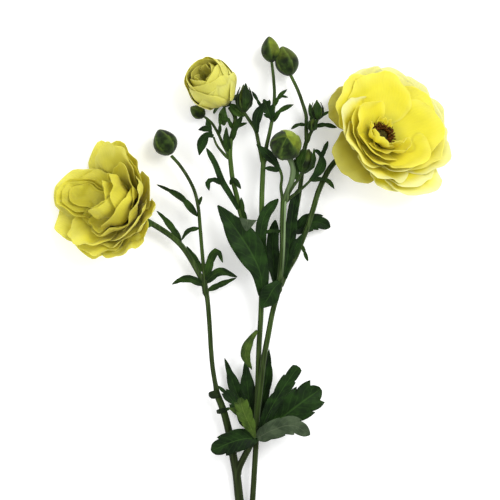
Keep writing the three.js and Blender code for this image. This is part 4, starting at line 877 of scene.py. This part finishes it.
# the painted shade of the back petals, a duller, darker yellow
SHADED_BACK_PETAL = (158, 152, 58)
STAMEN_SHADE = (48, 26, 10)
STAMEN_LIGHT = (118, 76, 30)
PISTIL_SHADE = (30, 24, 10)
PISTIL_LIGHT = (96, 88, 36)
PISTIL_SHARE = 0.72  # of the radius of the stamens' ring
FILAMENT_RADIUS = 0.14  # mm
ANTHER_RADIUS = 0.5  # mm
STAMEN_RINGS = [(0.8, 0.95, 0.05), (0.92, 1.0, 0.3), (1.0, 1.05, 0.55)]  # radius, length, lean
CALYX_RADIUS = 3.4
CALYX_DEPTH = 2.4
SEPAL_FORM = (11, 3.2, 100, 150)  # length, half width, angle from the axis at root and at tip
SEPAL_SINK = 0.9  # mm that a sepal starts inside the calyx and below its rim

# A bloom's seat (mm), its lean and heading (degrees), the radius of its foot, how far the soft swell
# moves its petals and how freely they stray. Petals: heading, length, half width, angle from the axis
# at root and tip, and for a nest the radius they are rolled to. The back petals are painted a duller,
# darker yellow as painted shade. The spiral has so many petals, the heading of the first, and length,
# half width, root and tip angle as they change from the outermost to the innermost, on the side that
# the bloom leans away from (near) and on the side that it leans to (far). The eye has the radius of its
# stamens' ring, and their length.
RIGHT_BLOOM = {
    "seat": (70.2, 92.4, 9.5), "lean": 30, "heading": 48, "foot": 5.6, "swell": 0.6, "looseness": 0.7,
    "back": [(130, 30.5, 14.5, 92, 88), (222, 26.5, 18, 95, 84)],
    "outline": [
        (296, 30, 18, 92, 72), (307, 38.5, 17, 88, 62), (357, 35, 17, 88, 50), (26, 37, 15, 94, 53),
        (54, 37.5, 16, 94, 53), (104, 36, 17, 86, 49),
    ],
    "shoulder": [
        (306, 33, 17, 84, 56), (341, 35.5, 18, 82, 53), (268, 27, 16, 82, 50), (75, 36, 17, 85, 50),
    ],
    "nest": [],
    "spiral": {
        "count": 16, "first": 22,
        "near": [(25, 18, 79, 41), (24, 18, 77, 35), (22.5, 17, 73, 26), (19, 15, 63, 12)],
        "far": [(33, 20, 84, 50), (32.5, 21, 82, 48), (32, 21, 80, 46), (31, 21, 78, 45)],
    },
    "heart": [
        (196, 15, 8, 50, 2), (236, 19, 9, 48, -8), (288, 18.5, 9, 48, -8), (92, 7.5, 3.2, 50, 20),
        (64, 7, 3, 50, 24),
    ],
    "eye": {"radius": 4.6, "height": 3.0, "stamens": 84, "length": 3.4},
}


def settled(height):
    """Heights (mm) that stay over the table: what would sink into it lies along it."""
    return TABLE_GAP + TABLE_GIVE * np.logaddexp(0, (height - TABLE_GAP) / TABLE_GIVE)


def swelled(points, amount):
    """Moves points (mm) by a soft swell, so that neighbouring petals bend together."""
    x, y, z = (points[..., k] / WARP_LENGTH * 2 * math.pi for k in range(3))
    away = np.minimum(1, np.hypot(points[..., 0], points[..., 1]) / WARP_START)
    return points + amount * away[..., None] * np.stack([
        np.sin(0.9 * y + 1.1 * z + 0.7) + 0.5 * np.sin(1.7 * y - 0.8 * x + 2.1),
        np.sin(1.1 * z - 0.8 * x + 1.9) + 0.5 * np.sin(1.6 * x + 1.1 * y + 0.4),
        np.sin(0.9 * x + 0.7 * y + 4.2) + 0.5 * np.sin(1.9 * y - 1.2 * x + 3.3),
    ], -1)


def bloom_frame(bloom):
    """The turn and place that carry a bloom's own coordinates (axis along Z) into the spray's."""
    heading = math.radians(bloom["heading"])
    tilt = Vector((-math.sin(heading), math.cos(heading), 0))
    turn = np.array(Matrix.Rotation(math.radians(bloom["lean"]), 3, tilt))
    return turn, np.array(bloom["seat"]), bloom["swell"]


def petal(frame_of, heading, length, half_width, root, tip, foot, rise, tone,
          rounding=PETAL_ROUNDING, skew=PETAL_SKEW, ruffle=PETAL_RUFFLE, curl=0.0, hug=math.inf):
    """A petal that grows out and up from the foot, curved round the axis, its rim softly waved.

    Its angle from the axis runs evenly from root to tip (degrees); heading goes round the axis. Its
    rim is turned over by curl, and it is bent no wider across than a circle of radius hug (mm).
    """
    u, v = PETAL_ROWS[:, None], PETAL_COLUMNS[None, :]
    turn_in = math.radians(heading)
    start, bend = math.radians(root), math.radians(tip - root)
    notch = 0.012 * np.sin(5.3 * v + heading) + 0.006 * np.sin(11.1 * v + 2.3 * heading)
    reach = u * (1 - rounding * (1 - np.sqrt(1 - 0.98 * v**2)) * u**2 + notch * u**3)
    angle = start + bend * reach
    radius = foot + length * (math.cos(start) - np.cos(angle)) / bend
    height = rise + length * (np.sin(angle) - math.sin(start)) / bend
    rolled = curl * np.clip((reach - CURL_START) / (1 - CURL_START), 0, 1.2) ** 2
    radius = radius + rolled * np.cos(angle)
    height = height - rolled * np.sin(angle)
    opened = np.sin(math.pi / 2 * np.minimum(1, u * PETAL_WIDENING))
    wrap = np.minimum(np.maximum(radius, foot + 1) * PETAL_WRAP, hug)
    turn = half_width * (PETAL_ROOT_WIDTH + (1 - PETAL_ROOT_WIDTH) * opened) * v / wrap
    wave = np.sin(2.3 * math.pi * v + heading) + 0.4 * np.sin(5.1 * math.pi * v + 1.3 * heading) * u**4
    lift = (skew * v + ruffle * wave * u) * np.minimum(1, 2.5 * u)
    across = wrap * np.sin(turn)
    outward = radius - wrap * (1 - np.cos(turn)) + lift * np.cos(angle)
    points = np.stack([
        outward * math.cos(turn_in) - across * math.sin(turn_in),
        outward * math.sin(turn_in) + across * math.cos(turn_in),
        height - lift * np.sin(angle),
    ], -1)
    matrix, seat, swell = frame_of
    points = swelled(points, swell)
    points = points @ matrix.T + seat
    points[..., 2] = settled(points[..., 2])
    ones = np.ones(points.shape[:2])
    return {
        "points": points, "normals": grid_normals(points),
        "thickness": PETAL_THICKNESS * (1 - 0.6 * u**2) * ones,
        "along": u * ones, "across": v * ones, "tone": tone,
    }


def side_share(bloom, heading):
    """0 on the side that the bloom leans away from, 1 on the side that it leans to."""
    share = 0.5 + SIDE_CHANGE * math.cos(math.radians(heading - bloom["heading"]))
    return min(max(share, 0.0), 1.0)


def bloom_petals(bloom):
    """All petals of a bloom; their tone runs from -1, at the back, over 0, outside, to 1, inside."""
    frame_of = bloom_frame(bloom)
    foot = bloom["foot"]
    inner_foot = foot * (1 - ROOT_TAPER)
    chance = np.random.default_rng(7)
    loose = bloom["looseness"]
    sheets = []
    for tone, group in [(-1.0, "back"), (0.0, "outline")]:
        for k, form in enumerate(bloom[group]):
            sheets.append(petal(frame_of, *form, foot, 2 * CLEARANCE + PETAL_RISE * (k % 2), tone))
    for form in bloom["shoulder"]:
        sheets.append(petal(frame_of, *form, foot, 2 * CLEARANCE + PETAL_RISE * SHOULDER_STEPS, 0.1))
    for k, (*form, hug) in enumerate(bloom["nest"]):
        rise = 2 * CLEARANCE + PETAL_RISE * (SPIRAL_STEPS + SPIRAL_RISE * (0.3 + 0.25 * k))
        sheets.append(petal(frame_of, *form, inner_foot, rise, 0.6, curl=-0.8, hug=hug))
    spiral = bloom["spiral"]
    steps = np.linspace(0, 1, len(spiral["near"]))
    for k in range(spiral["count"]):
        heading = spiral["first"] + GOLDEN_ANGLE * k + loose * chance.uniform(-6, 6)
        inward = k / (spiral["count"] - 1)
        share = side_share(bloom, heading)
        near, far = (
            [np.interp(inward, steps, column) for column in zip(*spiral[side])]
            for side in ("near", "far")
        )
        length, half_width, root, tip = (a + (b - a) * share for a, b in zip(near, far))
        sheets.append(petal(
            frame_of, heading, length * (1 + loose * chance.uniform(-0.04, 0.04)), half_width, root,
            tip + loose * chance.uniform(-3, 3), foot * (1 - ROOT_TAPER * inward),
            2 * CLEARANCE + PETAL_RISE * (SPIRAL_STEPS + SPIRAL_RISE * inward), inward,
            skew=bloom.get("skew", PETAL_SKEW), ruffle=bloom.get("ruffle", PETAL_RUFFLE),
            curl=loose * chance.uniform(-0.5, 1.2),
        ))
    for form in bloom["heart"]:
        sheets.append(petal(frame_of, *form, inner_foot, CORE_TOP, 1.0, ruffle=0.9))
    return sheets


def petal_material(name, root, shade, bright, rim, rim_share):
    """Petal skin: fine lengthwise veins, deeper at the root and darkened there as painted shade, paler
    towards the rim, with painted shade on the back petals.
    """
    material, tree, shader = living_material(name, 0.6, sheen=0.08, subsurface=0.3)
    let_light_in(shader, 0.0015, YELLOW_SCATTER)
    shader.inputs["Specular IOR Level"].default_value = PETAL_SHINE
    along, across = read_attribute(tree, "along"), read_attribute(tree, "across")
    tone = read_attribute(tree, "tone")
    soft = cloudy(tree, 70, detail=4)
    strayed = maths(tree, "MULTIPLY", soft, 26.0)
    veins = maths(tree, "MULTIPLY_ADD", across, 75.0, strayed)
    veins = maths(tree, "MULTIPLY_ADD", maths(tree, "SINE", veins), 0.5, 0.5)
    # Deeper, greener yellow at the root, and darkened there as painted shade deep in the bloom.
    colour = blend_colours(tree, ramp(tree, along, 0.0, 0.5), screen_colour(*root), screen_colour(*shade))
    lit = maths(tree, "MULTIPLY", ramp(tree, along, 0.2, 0.75), ramp(tree, soft, 0.3, 0.65, 0.55, 1.0))
    colour = blend_colours(tree, lit, colour, screen_colour(*bright))
    side = ramp(tree, maths(tree, "ABSOLUTE", across), 0.84, 1.0)
    edge = maths(tree, "MAXIMUM", ramp(tree, along, 0.7, 0.96), side)
    edge = maths(tree, "MULTIPLY", edge, ramp(tree, tone, 0.0, 0.5, rim_share, rim_share * 0.12))
    colour = blend_colours(tree, edge, colour, screen_colour(*rim))
    colour = blend_colours(tree, maths(tree, "MULTIPLY", veins, 0.05), colour, screen_colour(*root))
    # Painted shade: the back petals are painted a duller, darker yellow.
    painted_shade = ramp(tree, tone, -1.0, 0.0, 0.9, 0.0)
    colour = blend_colours(tree, painted_shade, colour, screen_colour(*SHADED_BACK_PETAL))
    colour_and_bump(tree, shader, colour, veins, 0.08, 0.0002)
    return material


def ring_tree():
    """Stands a ring of stamens, each a filament with an anther, in random lengths."""
    kinds = {"Stamens": "Int", "Ring radius": "Float", "Length": "Float", "Lean": "Float",
             "Seed": "Int", "Material": "Material"}
    tree, sockets, given = growing_tree("ring of stamens", kinds)
    filament = add_node(
        tree, "GeometryNodeMeshCylinder",
        {"Vertices": 5, "Radius": FILAMENT_RADIUS * MM, "Depth": given["Length"]},
    ).outputs["Mesh"]
    half = maths(tree, "MULTIPLY", given["Length"], 0.5)
    upright = add_node(tree, "ShaderNodeCombineXYZ", {"Z": half}).outputs[0]
    filament = add_node(tree, "GeometryNodeTransform",
                        {"Geometry": filament, "Translation": upright}).outputs[0]
    anther = add_node(tree, "GeometryNodeMeshUVSphere",
                      {"Segments": 7, "Rings": 5, "Radius": ANTHER_RADIUS * MM}).outputs["Mesh"]
    head = add_node(tree, "ShaderNodeCombineXYZ", {"Z": given["Length"]}).outputs[0]
    anther = add_node(tree, "GeometryNodeTransform",
                      {"Geometry": anther, "Translation": head, "Scale": (1, 0.7, 1.9)}).outputs[0]
    stamen = tree.nodes.new("GeometryNodeJoinGeometry")
    tree.links.new(filament, stamen.inputs[0])
    tree.links.new(anther, stamen.inputs[0])
    circle = add_node(tree, "GeometryNodeMeshCircle",
                      {"Vertices": given["Stamens"], "Radius": given["Ring radius"]}).outputs[0]
    index = add_node(tree, "GeometryNodeInputIndex").outputs[0]
    angle = maths(tree, "DIVIDE", maths(tree, "MULTIPLY", index, 2 * math.pi), given["Stamens"])
    strays = (
        add_node(tree, "FunctionNodeRandomValue", {2: low, 3: high, "Seed": given["Seed"]}).outputs[1]
        for low, high in ((-0.22, 0.22), (0.72, 1.1))
    )
    jitter, size = strays
    lean = maths(tree, "ADD", given["Lean"], jitter)
    turn = add_node(tree, "ShaderNodeCombineXYZ", {"Y": lean, "Z": angle}).outputs[0]
    inputs = {"Points": circle, "Instance": stamen.outputs[0], "Rotation": turn, "Scale": size}
    ring = add_node(tree, "GeometryNodeInstanceOnPoints", inputs).outputs[0]
    end_tree(tree, ring, given["Material"])
    return tree, sockets


def grainy_material(name, roughness, shade, light, spread, grain, detail, strength, distance):
    """A skin of fine grains in two colours; spread is where the noise goes from one to the other."""
    material, tree, shader = living_material(name, roughness)
    grains = cloudy(tree, grain, detail=detail)
    lit = ramp(tree, grains, *spread)
    colour = blend_colours(tree, lit, screen_colour(*shade), screen_colour(*light))
    colour_and_bump(tree, shader, colour, grains, strength, distance)
    return material


def place_eye(title, node_name, bloom):
    """The eye: a domed pistil with grains on it, and three rings of stamens that lean outwards."""
    matrix, seat, _ = bloom_frame(bloom)
    eye = bloom["eye"]
    foot = CORE_TOP + CLEARANCE
    share = np.linspace(0, 1, 14)[:, None]
    angle = np.linspace(0, 2 * math.pi, 40, endpoint=False)[None, :]
    grain = 1 + 0.07 * np.sin(9 * angle + 7 * share) * np.sin(14 * share)
    radius = eye["radius"] * PISTIL_SHARE * np.sqrt(np.clip(1 - share**2.4, 0.0004, 1)) * grain
    dome = np.stack([radius * np.cos(angle), radius * np.sin(angle),
                     foot + share * eye["height"] * grain], -1)
    mesh = revolved_mesh(title + "_pistil", dome @ matrix.T + seat, {}, pistil_olive)
    place_piece(title + "_pistil", mesh, "eye_brown", node_name)
    tree, sockets = ring_tree()
    centre = matrix @ np.array([0, 0, foot]) + seat
    into_place = Matrix.Translation(Vector(centre) * MM) @ Matrix(matrix.tolist()).to_4x4()
    for ring, (radius, length, lean) in enumerate(STAMEN_RINGS):
        mesh = grown(title + "_stamens", bpy.data.meshes.new("empty"), tree, sockets, {
            "Stamens": eye["stamens"] - 4 * ring,
            "Ring radius": eye["radius"] * radius * MM,
            "Length": eye["length"] * length * MM,
            "Lean": lean,
            "Seed": ring,
            "Material": stamen_brown,
        })
        mesh.transform(into_place)
        place_piece(title + "_stamens_%d" % (ring + 1), mesh, "eye_brown")


def place_core(title, bloom, material, slot):
    """The low cone in a bloom's middle that its petals grow from."""
    matrix, seat, _ = bloom_frame(bloom)
    angle = np.linspace(0, 2 * math.pi, 40, endpoint=False)
    radius = bloom["foot"] * np.array([share for share, _ in CORE_PROFILE])[:, None]
    height = np.array([height for _, height in CORE_PROFILE])[:, None] + 0 * angle
    points = np.stack([radius * np.cos(angle), radius * np.sin(angle), height], -1)
    nothing = np.zeros(points.shape[:2])
    attributes = {"along": nothing, "across": nothing, "tone": nothing + 1}
    mesh = revolved_mesh(title + "_core", points @ matrix.T + seat, attributes, material)
    place_piece(title + "_core", mesh, slot)


def place_calyx(title, node_name, bloom):
    """The receptacle, a shallow cup on the stalk's end, and five sepals bent back along the stalk."""
    frame_of = bloom_frame(bloom)
    matrix, seat, _ = frame_of
    share = np.linspace(0, 1, 10)[:, None]
    angle = np.linspace(0, 2 * math.pi, 36, endpoint=False)[None, :]
    radius = CALYX_RADIUS * (0.5 + 0.5 * np.sin(math.pi / 2 * share) ** 1.3)
    height = -CALYX_DEPTH * (1 - share) + 0 * angle
    cup = np.stack([radius * np.cos(angle), radius * np.sin(angle), height], -1)
    nothing = np.zeros(cup.shape[:2])
    attributes = {"across": nothing, "tone": nothing}
    mesh = revolved_mesh(title + "_receptacle", cup @ matrix.T + seat, attributes, bud_green)
    place_piece(title + "_receptacle", mesh, "bud_green", node_name)
    sheets = [
        petal(frame_of, 360 / SEPALS * (k + 0.5), *SEPAL_FORM, CALYX_RADIUS - SEPAL_SINK, -SEPAL_SINK, 0.4,
              rounding=0.45, skew=0, ruffle=0.2)
        for k in range(SEPALS)
    ]
    place_piece(title + "_sepals", sheet_mesh(title + "_sepals", sheets, sepal_green), "bud_green")


def place_bloom(title, bloom, material, slot):
    """Calyx, petals, core and, where the bloom is open enough to show one, the eye."""
    petals = title + "_petals"
    place_calyx(title, title + "_calyx", bloom)
    place_piece(petals, sheet_mesh(petals, bloom_petals(bloom), material), slot, petals)
    place_core(title, bloom, material, slot)
    if "eye" in bloom:
        place_eye(title, title + "_eye", bloom)


sepal_green = leaf_material("sepal green", (36, 60, 22), (74, 104, 42), (104, 128, 64))
stamen_brown = grainy_material(
    "stamen brown", 0.7, STAMEN_SHADE, STAMEN_LIGHT, spread=(0.35, 0.65), grain=1500, detail=2,
    strength=0.3, distance=0.0002,
)
pistil_olive = grainy_material(
    "pistil olive", 0.6, PISTIL_SHADE, PISTIL_LIGHT, spread=(0.4, 0.62), grain=2600, detail=1,
    strength=0.9, distance=0.0005,
)
bright_yellow = petal_material(
    "bright yellow petals", root=(176, 170, 40), shade=(220, 208, 48), bright=(230, 218, 56),
    rim=(232, 232, 168), rim_share=0.85,
)
place_bloom("bloom_right", RIGHT_BLOOM, bright_yellow, "bright_yellow")

# ---- left bloom ---------------------------------------------------------------------------------
# The second open bloom, which lies on its side and faces left. Its petals are duller, with bright
# turned-over rims, and close over most of the eye.

LEFT_BLOOM = {
    "seat": (-65, 52.5, 12.8), "lean": 48, "heading": 154, "foot": 5.0, "swell": 0.8, "looseness": 1.0,
    "back": [],
    "outline": [
        (163, 42, 17, 58, 44), (194, 38.5, 17, 62, 48), (222, 31, 18, 78, 57), (252, 25.5, 18, 88, 60),
        (288, 24.5, 16, 90, 60), (107, 38.2, 20, 76, 40), (40, 20.5, 13, 84, 50), (330, 23.5, 15, 90, 44),
    ],
    "shoulder": [(236, 30, 18, 74, 46), (97, 33, 19, 68, 34), (272, 23, 17, 80, 42)],
    "nest": [(168, 39, 15, 58, 36, 11), (167, 35.5, 13, 57, 36, 8.5), (164, 31, 10, 56, 36, 6.5)],
    "spiral": {
        "count": 14, "first": 311,
        "near": [(23, 18, 76, 34), (24.5, 18, 68, 20), (26, 18, 56, 2), (26, 16, 42, -17)],
        "far": [(37, 17, 60, 36), (28, 13, 60, 36), (16, 8, 60, 34), (8, 5, 60, 34)],
    },
    "heart": [(300, 25, 12, 36, -22), (30, 25, 12, 36, -22), (120, 6, 4, 50, 20), (210, 6, 4, 50, 20)],
    "eye": {"radius": 3.3, "height": 3.0, "stamens": 30, "length": 3.6},
}

deep_yellow = petal_material(
    "deep yellow petals", root=(128, 116, 38), shade=(176, 166, 52), bright=(212, 202, 60),
    rim=(228, 222, 110), rim_share=0.55,
)
place_bloom("bloom_left", LEFT_BLOOM, deep_yellow, "deep_yellow")

# ---- half-open bloom ----------------------------------------------------------------------------
# A bloom that is still a cup: broad petals wrapped one over another round a dark mouth, with the
# tightly folded inner petals and the green heart just showing in it.

HALF_OPEN_BLOOM = {
    "seat": (-13.3, 113.8, 6.8), "lean": 46, "heading": 130, "foot": 3.4, "swell": 0.3, "looseness": 0.3,
    "skew": 0.45, "ruffle": 0.15,
    "back": [], "outline": [], "shoulder": [], "nest": [],
    "spiral": {
        "count": 15, "first": 40,
        "near": [
            (21, 18, 70, -14), (25, 18, 64, -24), (27, 17, 58, -28), (27, 14, 52, -30), (24.5, 9, 42, -30),
        ],
        "far": [
            (22, 18, 69, -18), (26, 18, 64, -24), (28, 17, 58, -27), (28, 14, 52, -29), (25, 9, 42, -28),
        ],
    },
    "heart": [(90, 23, 7, 34, -24), (210, 22.5, 7, 34, -25), (330, 22, 7, 34, -26)],
}

pale_yellow = petal_material(
    "pale yellow petals", root=(120, 120, 44), shade=(168, 160, 54), bright=(212, 206, 90),
    rim=(224, 222, 120), rim_share=0.5,
)
place_bloom("bloom_half_open", HALF_OPEN_BLOOM, pale_yellow, "pale_yellow")

# ---- floor, light and camera --------------------------------------------------------------------
# A plain pale floor under the spray, soft light from above, stronger from the right than from the
# left, and a long lens that looks straight down, as the photograph is taken.

FLOOR_SIZE = 4.0  # m
FLOOR_GLOW = 0.22  # how far the floor is lightened, so that it stays near white
SKY_GLOW = 0.8
PHOTO_PIXEL = 0.55 * MM  # of the object across one pixel of the photograph
PHOTO_PIXELS = 500
LENS = 200  # mm on a sensor 36 mm wide
FOCUS_HEIGHT = 0.015  # m, where the scale above holds
PHOTO_CENTRE = (0.0, 0.0319)  # m, the point in the middle of the photograph

floor_mesh = bpy.data.meshes.new("floor")
corners = [(x * FLOOR_SIZE / 2, y * FLOOR_SIZE / 2, 0) for x, y in ((-1, -1), (1, -1), (1, 1), (-1, 1))]
floor_mesh.from_pydata(corners, [], [(0, 1, 2, 3)])
floor = bpy.data.objects.new("floor", floor_mesh)
floor_white, tree, shader = living_material("floor white", 0.9)
shader.inputs["Base Color"].default_value = (0.93, 0.93, 0.93, 1)
shader.inputs["Emission Color"].default_value = (1, 1, 1, 1)
shader.inputs["Emission Strength"].default_value = FLOOR_GLOW
floor_mesh.materials.append(floor_white)
bpy.context.scene.collection.objects.link(floor)
bpy.context.scene.view_settings.view_transform = "Standard"

world = bpy.data.worlds.new("studio")
world.use_nodes = True
sky = world.node_tree.nodes["Background"]
sky.inputs["Color"].default_value = (1, 1, 1, 1)
sky.inputs["Strength"].default_value = SKY_GLOW
bpy.context.scene.world = world


def soft_light(name, place, size, power):
    """A round soft light (m, W) that points at the spray's middle."""
    light = bpy.data.lights.new(name, "AREA")
    light.shape = "DISK"
    light.size = size
    light.energy = power
    lamp = bpy.data.objects.new(name, light)
    lamp.location = place
    lamp.rotation_euler = (-Vector(place)).to_track_quat("-Z", "Y").to_euler()
    bpy.context.scene.collection.objects.link(lamp)


soft_light("soft key", (0.75, 0.65, 1.25), 0.9, 15)
soft_light("soft fill", (-0.9, -0.3, 1.2), 1.2, 5)

camera_data = bpy.data.cameras.new("camera")
camera_data.lens = LENS
camera = bpy.data.objects.new("camera", camera_data)
distance = PHOTO_PIXEL * PHOTO_PIXELS * LENS / camera_data.sensor_width
camera.location = (PHOTO_CENTRE[0], PHOTO_CENTRE[1], FOCUS_HEIGHT + distance)
bpy.context.scene.collection.objects.link(camera)
bpy.context.scene.camera = camera
